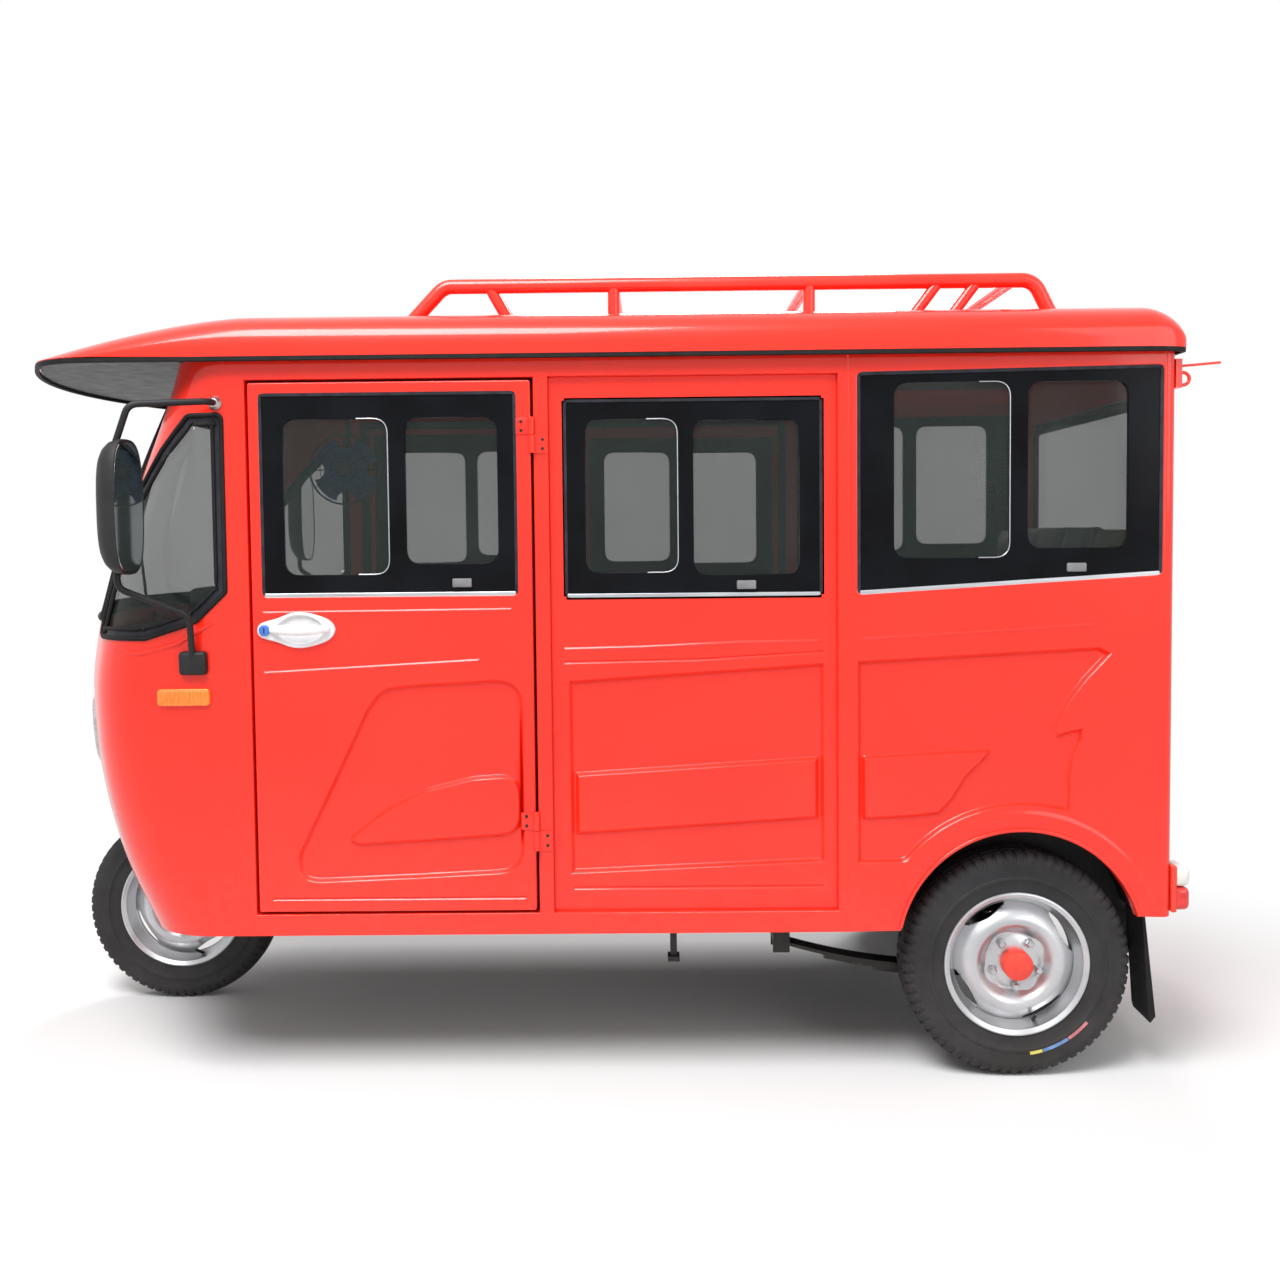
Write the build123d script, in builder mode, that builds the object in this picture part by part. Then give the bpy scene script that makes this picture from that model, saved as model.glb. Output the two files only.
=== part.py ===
"""Enclosed three-wheeled auto rickshaw. Millimetres, front at -X, left side at -Y, ground at z = 0."""

import math
import os

from build123d import *

os.makedirs("parts", exist_ok=True)

# Wheels and axles
wheelbase = 2147.0
front_axle_x = -1171.0
rear_axle_x = front_axle_x + wheelbase
front_tyre_radius = 258.0
front_tyre_width = 92.0
rear_tyre_radius = 265.0
rear_tyre_width = 110.0
front_rim_width = 82.0
rear_rim_width = 100.0
rim_radius = 168.0
rim_wall = 5.0
rim_lip = 5.0
bead_depth = 9.0
disc_thickness = 8.0
disc_offset = 26.0
disc_slots = 4
disc_slot_radius = rim_radius - 46.0
disc_slot_width = 13.0
disc_slot_sweep = 48.0
hub_radius = 46.0
hub_stand = 12.0
axle_radius = 17.0
axle_tube_radius = 30.0
turning_gap = 0.3

# Body: its width, its lengths from the axles, and its heights from the sill
half_width = 610.0
wall = 30.0
inner_half = half_width - wall
wheel_inset = 80.0
rear_track = 2 * (half_width - wheel_inset)
ride_height = 90.0
sill_z = rear_tyre_radius + ride_height
floor_thickness = 40.0
floor_z = sill_z + floor_thickness
belt_height = 685.0
belt_z = sill_z + belt_height
side_height = 1323.0
roof_z = sill_z + side_height
cab_set_back = 341.0
pillar_front_x = front_axle_x + cab_set_back
rear_overhang = 345.0
body_rear_x = rear_axle_x + rear_overhang
rear_bottom_z = sill_z + 29.0
quarter_front_x = rear_axle_x - 395.0
seam_gap = 6.0
far = 400.0

# Door and window openings, each as front, rear, bottom, top
door_front_x = pillar_front_x + 48.5
door_width = 652.5
door_rear_x = door_front_x + door_width
centre_pillar = 34.0
middle_front_x = door_rear_x + centre_pillar
middle_rear_x = quarter_front_x - 23.0
door_opening = (door_front_x, door_rear_x, sill_z + 49, roof_z - 49)
middle_opening = (middle_front_x, middle_rear_x, sill_z + 49, roof_z - 48)
door_window = (door_front_x + 31.5, door_rear_x - 40, belt_z + 98, roof_z - 81)
middle_window = (middle_front_x + 34, middle_rear_x - 33, belt_z + 90, roof_z - 100)
quarter_window = (quarter_front_x + 23, body_rear_x - 32, belt_z + 100, roof_z - 43)
quarter_window_rise = 31.0
rear_window = (180 - half_width, half_width - 180, belt_z + 110, roof_z - 88)
rear_window_corner = 40.0
window_corner = 12.0
glass_thickness = 6.0
glass_depth = 4.0
glass_inset = 8.0

# Pressings: depth of the left middle panel, of a recess, and a rib's height and stand
panel_recess = 18.0
emboss_depth = 4.0
rib_height = 9.0
rib_stand = 2.0

# Rear wheel arches
arch_z = rear_tyre_radius + 41.0
arch_radius = rear_tyre_radius + 13.0
flare_radius = arch_radius + 63.0
flare_angles = (70.0, 106.0, 142.0)
tub_gap = 12.0
tub_wall = 8.0
tub_inner_y = rear_track / 2 - rear_tyre_width / 2 - 20.0

# Nose: height, then X from the front axle of the centre line and of the side where it starts to curve,
# and the radius of the corner between them
nose_rows = (
    (sill_z, -13.0, 286.0, 180.0),
    (sill_z + 157, -84.0, 216.0, 180.0),
    (sill_z + 365, -134.0, 166.0, 180.0),
    (belt_z - 120, -147.0, 153.0, 180.0),
    (belt_z, -133.0, 169.0, 180.0),
    (belt_z + 82, -115.0, 186.0, 180.0),
    (roof_z - 270, -14.0, 271.0, 175.0),
    (roof_z - 78, 113.0, 326.0, 150.0),
    (roof_z, 171.0, 336.0, 130.0),
)
nose_wall = 25.0
tunnel_half = 225.0
tunnel_z = 2 * front_tyre_radius + 124.0
tunnel_wall = 12.0
firewall_x = front_axle_x + front_tyre_radius + 41.0
windscreen_bottom = (half_width - 110, belt_z + 45)
windscreen_top = (half_width - 155, roof_z - 78)
# Front quarter window corners in side view: X from the cab's front pillar, Z
quarter_light = (
    (-340, belt_z + 5), (-257, roof_z - 340), (-155, roof_z - 202), (-85, roof_z - 127), (-5, roof_z - 126),
    (-5, belt_z + 110), (-74, belt_z + 44), (-95, belt_z + 36), (-192, belt_z + 5),
)
quarter_light_inner_y = half_width - 105.0

dash_rear_x = front_axle_x + 161.0
dash_depth = 120.0
dash_thickness = 40.0

# Lamps
lamp_y = half_width - 275.0
lamp_z = sill_z + 445.0
lamp_radius = 82.0
lamp_stand = 5.0
indicator_size = (120.0, 10.0, 39.0)
indicator_rear_x = pillar_front_x - 45.0
indicator_z = belt_z - 149.0
tail_lamp_size = (46.0, 82.0, 102.0)
tail_lamp_round = 14.0

# Roof
eave = 30.0
roof_half = half_width + eave
roof_side_z = roof_z + 42.0
roof_shoulder = (roof_half - 90.0, roof_z + 100.0)
roof_crown_z = roof_z + 134.0
roof_bend = (14.0, 10.0)
roof_front_x = door_front_x + 1.5
roof_rear_x = body_rear_x + 19.0
# Round of the roof's rear end: ahead of the rear, in from the side, down at the side, down at the crown
roof_rear_rows = (
    (85.0, 0.0, 0.0, 0.0), (32.0, 6.0, 4.0, 12.0), (8.0, 20.0, 16.0, 38.0), (0.0, 34.0, 28.0, 77.0),
)
roof_side_wall = 30.0
roof_top_wall = 25.0
visor_corner_x = front_axle_x + 40.0
visor_tip_x = front_axle_x - 255.0
visor_corner_radius = 170.0
gasket_depth = 18.0

# Steering, along the leaning axis from its foot beside the front axle
rake = 24.0
fork_offset = 41.0
fork_half = front_tyre_width / 2 + 32.0
fork_slider = (23.0, -30.0, 190.0)
fork_tube_radius = 16.0
guard_inner = front_tyre_radius + 16.0
guard_outer = guard_inner + 4.0
guard_half = front_tyre_width / 2 + 10.0
yoke_s = guard_outer + 37.0
yoke_thickness = 25.0
yoke_depth = 90.0
yoke_overhang = 25.0
head_tube_s = (yoke_s + 35.0, yoke_s + 205.0)
stem_radius = 15.0
head_tube_radius = 24.0
bar_s = 830.0
bar_half = 320.0
bar_radius = 11.0
bar_sweep = (95.0, 10.0)
bar_bend = 60.0
grip_radius = 16.0
clamp_radius = 24.0

# Doors
hinge_set_in = 3.0
hinge_x = door_rear_x - hinge_set_in
middle_hinge_x = middle_rear_x - hinge_set_in
hinge_stand = 7.0
hinge_y = half_width + hinge_stand
hinge_radius = 7.0
hinge_pin_radius = 4.0
hinge_leaf = (36.0, 4.0)
hinge_heights = ((sill_z + 196, sill_z + 286), (roof_z - 220, roof_z - 139))
handle_length = 178.0
handle_height = 52.0
handle_corner = 18.0
handle_z = belt_z + 22.0
handle_gap = 16.0
handle_grip = 14.0
handle_foot = 32.0
handle_ahead = 13.0

# Frame and running gear
rail_y = 300.0
rail_width = 60.0
rail_height = 40.0
rail_front_x = front_axle_x + 211.0
post_width = 40.0
cross_height = 25.0
cross_x = (front_axle_x + 311.0, front_axle_x + 691.0)
spring_y = rear_track / 2 - 90.0
spring_width = 50.0
spring_eye_x = (rear_axle_x - 536.0, rear_axle_x + 310.0)
spring_sag = 65.0
leaf_thickness = 8.0
leaf_half_angles = (18.2, 13.0, 8.0)
hanger_thickness = 8.0
hanger_bottom_z = sill_z - 93.0
pad_thickness = 6.0
pad_half = (45.0, 32.0)
differential_radius = 84.0
differential_width = 110.0
pinion_radius = 36.0
pinion_reach = 115.0
brake_radius = 92.0
brake_width = 22.0
shaft_radius = 19.0
# Engine and driver's seat box, as X from the front axle, half width, and Z from the sill
engine_x = (front_axle_x + 741.0, front_axle_x + 1051.0)
engine_half = 150.0
engine_z = (sill_z - 65.0, sill_z + 255.0)
engine_foot_x = (front_axle_x + 871.0, front_axle_x + 931.0)
engine_room = 10.0

# Seats: cushion and back each as front and rear
cushion_z = floor_z + 245.0
cushion_thickness = 80.0
cushion_round = 30.0
back_round = 60.0
seat_box_wall = 15.0
driver_seat_x = (front_axle_x + 691.0, front_axle_x + 1081.0)
driver_back_x = (driver_seat_x[1] - 70.0, driver_seat_x[1])
driver_half = 240.0
driver_back_top = cushion_z + 490.0
middle_seat_x = (rear_axle_x - 776.0, rear_axle_x - 496.0)
middle_back_x = (middle_seat_x[0], middle_seat_x[0] + 70.0)
middle_half = half_width - 190.0
middle_back_top = cushion_z + 510.0
rear_seat_x = (rear_axle_x - 156.0, body_rear_x - 36.0)
rear_back_x = (rear_seat_x[1] - 75.0, rear_seat_x[1])
rear_half = half_width - 70.0
rear_back_top = cushion_z + 640.0

# Rack: tube, side rails and struts
rack_y = roof_half - 160.0
rack_radius = 17.0
rack_rise = 45.0
rack_z = roof_crown_z + rack_rise
rack_foot_x = (roof_front_x + 336.0, roof_rear_x - 252.0)
rack_shoulder_x = (rack_foot_x[0] + 99.0, rack_foot_x[1] - 53.0)
rack_bend = 45.0
rack_post_x = (rear_axle_x - 923.0, rear_axle_x - 465.0)
rack_cross_x = (rack_foot_x[0] + 204.0, *rack_post_x, rack_foot_x[1] - 98.0)
# Sloping struts: X at the roof, X at the rail
rack_struts = (
    (rack_foot_x[0] + 262, rack_foot_x[0] + 204),
    (rack_foot_x[1] - 353, rack_foot_x[1] - 273),
    (rack_foot_x[1] - 263, rack_foot_x[1] - 183),
)

# Mirrors: head, arm and block, with X from the cab's front pillar
mirror_y = half_width + 110.0
mirror_half = 85.0
mirror_x = (pillar_front_x - 235.0, pillar_front_x - 175.0)
mirror_height = 295.0
mirror_z = (belt_z + 155.0, belt_z + 155.0 + mirror_height)
mirror_round = 60.0
mirror_arm_radius = 8.0
mirror_arm_bend = 16.0
mirror_block_x = (pillar_front_x - 111.0, pillar_front_x - 49.0)
mirror_block_z = (belt_z - 78.0, belt_z - 24.0)
mirror_block_depth = 20.0

# Small pieces
flap_bottom_z = 125.0
flap_inner_y = tub_inner_y + 20.0
peg_x = rear_axle_x - 796.0
peg_y = 130.0 - half_width
peg_bottom_z = sill_z - 105.0
bumper_z = rear_bottom_z + 51.0
bumper_half = half_width - 90.0
bumper_depth = 24.0
bumper_height = 70.0
plate_spacing = 160.0
plate_hole_radius = 3.5
bracket_y = 30.0 - half_width
bracket_rod_reach = 108.0
fan_x = front_axle_x + 471.0
fan_z = roof_z - 222.0
fan_radius = 88.0
fan_hub_radius = 26.0
fan_notch_radius = 26.0
fan_motor_radius = 32.0


def save(piece, name):
    """Label a finished piece and write it."""
    piece.label = name
    export_step(piece, f"parts/{name}.step")


def block(x0, x1, y0, y1, z0, z1, mode=Mode.ADD):
    """A box between two corners, in the piece being built."""
    with Locations(((x0 + x1) / 2, (y0 + y1) / 2, (z0 + z1) / 2)):
        Box(x1 - x0, y1 - y0, z1 - z0, mode=mode)


def rectangle(x0, x1, z0, z1, mode=Mode.ADD, corner=0.0):
    """A rectangle between two corners, in the sketch being drawn."""
    with Locations(((x0 + x1) / 2, (z0 + z1) / 2)):
        if corner:
            RectangleRounded(x1 - x0, z1 - z0, corner, mode=mode)
        else:
            Rectangle(x1 - x0, z1 - z0, mode=mode)


def mirrored(part):
    """The same piece on the vehicle's right side."""
    with BuildPart() as other:
        mirror(part, about=Plane.XZ)
    return other.part


def both_sides(part):
    """The left piece and its mirror image together."""
    with BuildPart() as pair:
        add(part)
        mirror(part, about=Plane.XZ)
    return pair.part


def bow_points(x_front, x_side, half, corner):
    """Tangent arcs round a front: start, middle and end of the corner, then the middle of the long arc."""
    depth = x_side - x_front
    big = ((half - corner) ** 2 + depth**2 - corner**2) / (2 * (depth - corner))
    corner_centre = (x_side, -(half - corner))
    big_centre = x_front + big
    reach = math.hypot(corner_centre[0] - big_centre, corner_centre[1])
    unit = ((corner_centre[0] - big_centre) / reach, corner_centre[1] / reach)
    end = (corner_centre[0] + unit[0] * corner, corner_centre[1] + unit[1] * corner)
    half_turn = (math.atan2(unit[0], -unit[1])) / 2
    middle = (corner_centre[0] + corner * math.sin(half_turn), corner_centre[1] - corner * math.cos(half_turn))
    return (x_side, -half), middle, end, (x_front, 0.0)


def opposite(point):
    """A plan point on the other side of the centre line."""
    return (point[0], -point[1])


def nose_shape(inset, z_low, z_high):
    """The nose's solid form between two of its heights, drawn in by an inset."""
    rows = [row for row in nose_rows if z_low <= row[0] <= z_high]
    with BuildPart() as shape:
        for z, x_front, x_side, corner in rows:
            start, middle, end, nose = bow_points(
                front_axle_x + x_front + inset, front_axle_x + x_side, half_width - inset, corner - inset
            )
            with BuildSketch(Plane.XY.offset(z)):
                with BuildLine():
                    Line((pillar_front_x, start[1]), start)
                    ThreePointArc(start, middle, end)
                    ThreePointArc(end, nose, opposite(end))
                    ThreePointArc(opposite(end), opposite(middle), opposite(start))
                    Line(opposite(start), (pillar_front_x, -start[1]))
                    Line((pillar_front_x, -start[1]), (pillar_front_x, start[1]))
                make_face()
        loft(ruled=True)
    return shape.part


def side_prism(points, reach):
    """A prism through the whole width from a side view outline."""
    with BuildPart() as prism:
        with BuildSketch(Plane.XZ):
            with BuildLine():
                Polyline(*points, close=True)
            make_face()
        extrude(amount=reach, both=True)
    return prism.part


def windscreen_prism():
    """The windscreen's opening, carried back from ahead of the nose."""
    with BuildPart() as prism:
        with BuildSketch(Plane.YZ.offset(front_axle_x - far)):
            with BuildLine():
                Polyline(
                    (-windscreen_bottom[0], windscreen_bottom[1]),
                    (windscreen_bottom[0], windscreen_bottom[1]),
                    (windscreen_top[0], windscreen_top[1]),
                    (-windscreen_top[0], windscreen_top[1]),
                    close=True,
                )
            make_face()
        extrude(amount=far + cab_set_back - 50)
    return prism.part


def quarter_light_prism():
    """Both front quarter windows' openings."""
    with BuildPart() as prism:
        add(side_prism([(pillar_front_x + x, z) for x, z in quarter_light], half_width + 40))
        block(front_axle_x - far, pillar_front_x, -quarter_light_inner_y, quarter_light_inner_y,
              sill_z, roof_z, mode=Mode.SUBTRACT)
    return prism.part


def roof_section(side_inset, side_drop, crown_drop):
    """Points of the roof's section: foot, side, bend, shoulder and crown, on the right."""
    half = roof_half - side_inset
    side_z = roof_side_z - side_drop
    shoulder = (roof_shoulder[0] - side_inset, roof_shoulder[1] - crown_drop * 0.85)
    bend = ((half + shoulder[0]) / 2 + roof_bend[0],
            (side_z + shoulder[1]) / 2 + roof_bend[1] * (1 - side_drop / 40))
    return (half, roof_z), (half, side_z), bend, shoulder, (0.0, roof_crown_z - crown_drop)


def flipped(point):
    """A section point on the other side of the centre line."""
    return (-point[0], point[1])


def roof_form(rows):
    """The roof's solid through its sections, with X first in each row and then its drops."""
    with BuildPart() as form:
        for x, side_inset, side_drop, crown_drop in rows:
            foot, side, bend, shoulder, crown = roof_section(side_inset, side_drop, crown_drop)
            with BuildSketch(Plane.YZ.offset(x)):
                with BuildLine():
                    Line(flipped(foot), flipped(side))
                    ThreePointArc(flipped(side), flipped(bend), flipped(shoulder))
                    ThreePointArc(flipped(shoulder), crown, shoulder)
                    ThreePointArc(shoulder, bend, side)
                    Line(side, foot)
                    Line(foot, flipped(foot))
                make_face()
        loft(ruled=True)
    return form.part


def visor():
    """The visor ahead of the roof: the roof's section drawn out to its curved rim."""
    start, middle, end, tip = bow_points(visor_tip_x, visor_corner_x, roof_half, visor_corner_radius)
    foot, side, bend, shoulder, crown = roof_section(0, 0, 0)
    rim_x = visor_corner_x + 20
    with BuildPart() as shape:
        with BuildSketch(Plane.YZ.offset(roof_front_x)):
            with BuildLine():
                Line(flipped(foot), flipped(side))
                ThreePointArc(flipped(side), flipped(bend), flipped(shoulder))
                ThreePointArc(flipped(shoulder), crown, shoulder)
                ThreePointArc(shoulder, bend, side)
                Line(side, foot)
                Line(foot, flipped(foot))
            make_face()
        with BuildSketch(Plane.XY.offset(roof_z)):
            with BuildLine():
                Line((rim_x, -roof_half), start)
                ThreePointArc(start, middle, end)
                ThreePointArc(end, tip, opposite(end))
                ThreePointArc(opposite(end), opposite(middle), opposite(start))
                Line(opposite(start), (rim_x, roof_half))
                Line((rim_x, roof_half), (rim_x, -roof_half))
            make_face()
        loft(ruled=True)
    return shape.part


def roof_plan(inset, x_rear, height, z):
    """The roof's and visor's plan outline as a slab."""
    start, middle, end, tip = bow_points(
        visor_tip_x + inset, visor_corner_x, roof_half - inset, visor_corner_radius - inset
    )
    with BuildPart() as slab:
        with BuildSketch(Plane.XY.offset(z)):
            with BuildLine():
                Line((x_rear, start[1]), start)
                ThreePointArc(start, middle, end)
                ThreePointArc(end, tip, opposite(end))
                ThreePointArc(opposite(end), opposite(middle), opposite(start))
                Line(opposite(start), (x_rear, -start[1]))
                Line((x_rear, -start[1]), (x_rear, start[1]))
            make_face()
        extrude(amount=height)
    return slab.part


def quarter_outline(opening, rise):
    """The rear quarter window's corners: its foot rises towards the rear."""
    front, rear, bottom, top = opening
    return ((front, bottom - rise / 4), (rear, bottom + rise), (rear, top + 5), (front, top - 5))


def window_slab(y_outer, thickness, points):
    """A flat pane in the left side, from its outline."""
    with BuildPart() as pane:
        with BuildSketch(Plane.XZ.offset(y_outer - thickness)):
            with BuildLine():
                Polyline(*points, close=True)
            make_face()
            fillet(vertices(), window_corner)
        extrude(amount=thickness)
    return pane.part


def corners(opening):
    """An opening's four corners."""
    x0, x1, z0, z1 = opening
    return ((x0, z0), (x1, z0), (x1, z1), (x0, z1))


def side_frame(with_panel_rails):
    """Left side: sill, pillars and top rail round the two door openings."""
    with BuildPart() as frame:
        with BuildSketch(Plane.XZ.offset(inner_half)):
            rectangle(pillar_front_x, quarter_front_x, sill_z, roof_z)
            for x0, x1, z0, z1 in (door_opening, middle_opening):
                rectangle(x0, x1, z0, z1, mode=Mode.SUBTRACT)
        extrude(amount=wall)
        if with_panel_rails:
            with BuildSketch(Plane.XZ.offset(inner_half - 6)):
                rectangle(middle_opening[0] - 12, middle_opening[1] + 12, floor_z, middle_opening[3] + 12)
                rectangle(*middle_opening, mode=Mode.SUBTRACT)
            extrude(amount=6)
    return frame.part


def raised_rib(y_outer, start, end):
    """A rib pressed out of a recess between two side view points, in the piece being built."""
    with BuildSketch(Plane.XZ.offset(y_outer - emboss_depth)) as rib:
        with BuildLine():
            Polyline(start, end, (end[0], end[1] + rib_height), (start[0], start[1] + rib_height), close=True)
        make_face()
    extrude(rib.sketch, amount=emboss_depth + rib_stand)


def rear_quarter():
    """Left rear quarter: window, wheel arch and pressed panel."""
    with BuildPart() as quarter:
        with BuildSketch(Plane.XZ.offset(inner_half)):
            rectangle(quarter_front_x, body_rear_x, sill_z, roof_z)
            rectangle(rear_axle_x, body_rear_x + 1, sill_z - 1, rear_bottom_z, mode=Mode.SUBTRACT)
            with Locations((rear_axle_x, arch_z)):
                Circle(arch_radius, mode=Mode.SUBTRACT)
        extrude(amount=wall)
        add(window_slab(half_width + 5, wall + 10, quarter_outline(quarter_window, quarter_window_rise)),
            mode=Mode.SUBTRACT)
        arc = []
        for angle in flare_angles:
            turn = math.radians(angle)
            arc.append((rear_axle_x + flare_radius * math.cos(turn), arch_z + flare_radius * math.sin(turn)))
        recess_front_x = quarter_window[0] + 3
        with BuildSketch(Plane.XZ.offset(half_width - emboss_depth)):
            with BuildLine():
                Polyline(
                    (recess_front_x, sill_z + 163), (recess_front_x, belt_z - 65),
                    (rear_axle_x + 194, belt_z - 37), (rear_axle_x + 116, belt_z - 144),
                    (rear_axle_x + 74, belt_z - 234),
                    (rear_axle_x + 134, belt_z - 234), (rear_axle_x + 110, belt_z - 300), arc[0],
                )
                ThreePointArc(*arc)
                Line(arc[2], (recess_front_x, sill_z + 163))
            make_face()
        extrude(amount=emboss_depth + 1, mode=Mode.SUBTRACT)
        raised_rib(half_width, (recess_front_x, belt_z - 288), (rear_axle_x - 71, belt_z - 272))
    return quarter.part


def pressed_panel(opening, window, y_outer, recess, ribs):
    """A door or middle panel with its window cut, a pressed recess and raised ribs."""
    x0, x1, z0, z1 = opening
    with BuildPart() as panel:
        with BuildSketch(Plane.XZ.offset(inner_half)):
            rectangle(x0, x1, z0, z1)
            rectangle(*window, mode=Mode.SUBTRACT, corner=window_corner)
        extrude(amount=y_outer - inner_half)
        with BuildSketch(Plane.XZ.offset(y_outer - emboss_depth)):
            with BuildLine():
                Polyline(*recess, close=True)
            make_face()
        extrude(amount=emboss_depth + 1, mode=Mode.SUBTRACT)
        for start, end in ribs:
            raised_rib(y_outer, start, end)
    return panel.part


def hinge_half(axis_x, lower):
    """Knuckles of one hinge line: the lower ones carry the pins, the upper ones turn on them."""
    leaf_reach, leaf_stand = hinge_leaf
    outward = 1 if lower else -1
    with BuildPart() as half:
        for z0, z1 in hinge_heights:
            middle = (z0 + z1) / 2
            bottom, top = (z0, middle) if lower else (middle + turning_gap, z1)
            with Locations((axis_x, -hinge_y, (bottom + top) / 2)):
                Cylinder(hinge_radius, top - bottom)
            for near, reach, stand in ((5, leaf_reach, leaf_stand), (0, 8, hinge_stand + 2)):
                x0, x1 = sorted((axis_x + outward * near, axis_x + outward * reach))
                block(x0, x1, -half_width - stand, -half_width, bottom, top)
            if lower:
                with Locations((axis_x, -hinge_y, (z0 + z1) / 2 + 5)):
                    Cylinder(hinge_pin_radius, z1 - z0 - 10)
            else:
                with Locations((axis_x, -hinge_y, (bottom + top) / 2)):
                    Cylinder(hinge_pin_radius + turning_gap, top - bottom + 2, mode=Mode.SUBTRACT)
    return half.part


def door(opening, window, axis_x, recess, ribs):
    """A left side door with its half of the hinges, closed."""
    x0, x1, z0, z1 = opening
    leaf_box = (x0 + seam_gap, axis_x - hinge_set_in, z0 + seam_gap, z1 - seam_gap)
    with BuildPart() as leaf:
        add(pressed_panel(leaf_box, window, half_width, recess, ribs))
        add(hinge_half(axis_x, lower=False))
    return leaf.part


def handle(front_x):
    """A pull handle, standing off the door on its two feet."""
    x0, x1 = front_x, front_x + handle_length
    z0, z1 = handle_z - handle_height / 2, handle_z + handle_height / 2
    with BuildPart() as grip:
        with BuildSketch(Plane.XZ.offset(half_width)):
            rectangle(x0, x1, z0, z1, corner=handle_corner)
        extrude(amount=handle_gap + handle_grip)
        block(x0 + handle_foot, x1 - handle_foot, -half_width - handle_gap, -half_width, z0 - 1, z1 + 1,
              mode=Mode.SUBTRACT)
    return grip.part


def wheel_rim(x, y, z, width, disc_y, side):
    """A pressed rim with its slotted disc and hub; the hub stands out to the left for a side of -1."""
    half = width / 2
    inner = rim_radius - bead_depth
    plane = Plane(origin=(x, y, z), x_dir=(1, 0, 0), z_dir=(0, 0, 1))
    hub_in, hub_out = sorted((-side * half, side * (half + hub_stand)))
    with BuildPart() as rim:
        with BuildSketch(plane):
            with BuildLine():
                Polyline(
                    (rim_radius, -half), (rim_radius, rim_lip - half), (inner, rim_lip - half),
                    (inner, half - rim_lip), (rim_radius, half - rim_lip), (rim_radius, half),
                    (inner - rim_wall, half), (inner - rim_wall, -half), close=True,
                )
            make_face()
            rectangle(axle_radius + turning_gap, inner - rim_wall + 1,
                      disc_y - disc_thickness / 2, disc_y + disc_thickness / 2)
            rectangle(axle_radius + turning_gap, hub_radius, hub_in, hub_out)
        revolve(axis=Axis((x, y, z), (0, 1, 0)))
        with BuildSketch(Plane(origin=(x, y + disc_y - disc_thickness, z), x_dir=(1, 0, 0), z_dir=(0, 1, 0))):
            with PolarLocations(0, disc_slots, start_angle=20):
                SlotArc(CenterArc((0, 0), disc_slot_radius, 0, disc_slot_sweep), disc_slot_width)
        extrude(amount=2 * disc_thickness, mode=Mode.SUBTRACT)
    return rim.part


def wheel_tyre(x, y, z, radius, width, rim_width):
    """A tyre seated between the rim's flanges."""
    bead = rim_radius - bead_depth
    seat = rim_width / 2 - rim_lip
    plane = Plane(origin=(x, y, z), x_dir=(1, 0, 0), z_dir=(0, 0, 1))
    with BuildPart() as tyre:
        with BuildSketch(plane):
            with BuildLine():
                Polyline(
                    (bead, -seat), (bead, seat), (rim_radius + 6, seat), (rim_radius + 34, width / 2),
                    (radius - 24, width / 2), (radius - 5, width / 2 - 16), (radius, 0),
                    (radius - 5, 16 - width / 2), (radius - 24, -width / 2), (rim_radius + 34, -width / 2),
                    (rim_radius + 6, -seat), close=True,
                )
            make_face()
        revolve(axis=Axis((x, y, z), (0, 1, 0)))
    return tyre.part


def tube(points, radius, bend):
    """A round tube through points, with rounded bends."""
    with BuildPart() as pipe:
        with BuildLine() as path:
            FilletPolyline(*points, radius=bend)
        with BuildSketch(path.line ^ 0):
            Circle(radius)
        sweep(path=path.line)
    return pipe.part


def rod(start, end, radius):
    """A straight round bar between two points."""
    direction = Vector(*end) - Vector(*start)
    with BuildPart() as bar:
        with BuildSketch(Plane(origin=start, z_dir=direction.normalized())):
            Circle(radius)
        extrude(amount=direction.length)
    return bar.part


# Steering frame: origin beside the front axle, z along the steering axis
lean = math.radians(rake)
steer_origin = (
    front_axle_x + fork_offset * math.cos(lean), 0.0, front_tyre_radius - fork_offset * math.sin(lean)
)
steer_plane = Plane(
    origin=steer_origin, x_dir=(math.cos(lean), 0, -math.sin(lean)), z_dir=(math.sin(lean), 0, math.cos(lean))
)


def steer_point(across, y, along):
    """A point of the steering frame in the vehicle's frame."""
    point = steer_plane.from_local_coords(Vector(across, y, along))
    return (point.X, point.Y, point.Z)


# Body sides
left_frame = side_frame(with_panel_rails=True)
right_frame = mirrored(side_frame(with_panel_rails=False))
left_quarter = rear_quarter()
save(left_frame, "side_frame_left")
save(right_frame, "side_frame_right")
save(left_quarter, "rear_quarter_left")
save(mirrored(left_quarter), "rear_quarter_right")

# Pressed forms in side view: X, Z of the recess, then each rib's two ends
door_recess = (
    (door_rear_x - 35, sill_z + 147), (door_front_x + 106.5, sill_z + 126),
    (door_front_x + 81.5, sill_z + 165), (door_front_x + 261.5, belt_z - 160),
    (door_front_x + 311.5, belt_z - 114), (door_rear_x - 35, belt_z - 97),
)
crease = ((-35, -316), (-201, -334), (-321, -380), (-431, -462))
crease_points = [(door_rear_x + x, belt_z + z) for x, z in crease]
door_ribs = list(zip(crease_points, crease_points[1:]))
recess_x = (middle_window[0] + 9, middle_window[1])
middle_recess = (
    (recess_x[0], sill_z + 101), (recess_x[1], sill_z + 100),
    (recess_x[1], belt_z - 71), (recess_x[0], belt_z - 106),
)
middle_ribs = (
    ((recess_x[0], belt_z - 326), (recess_x[1], belt_z - 292)),
    ((recess_x[0], sill_z + 135), (recess_x[1], sill_z + 158)),
)

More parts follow.
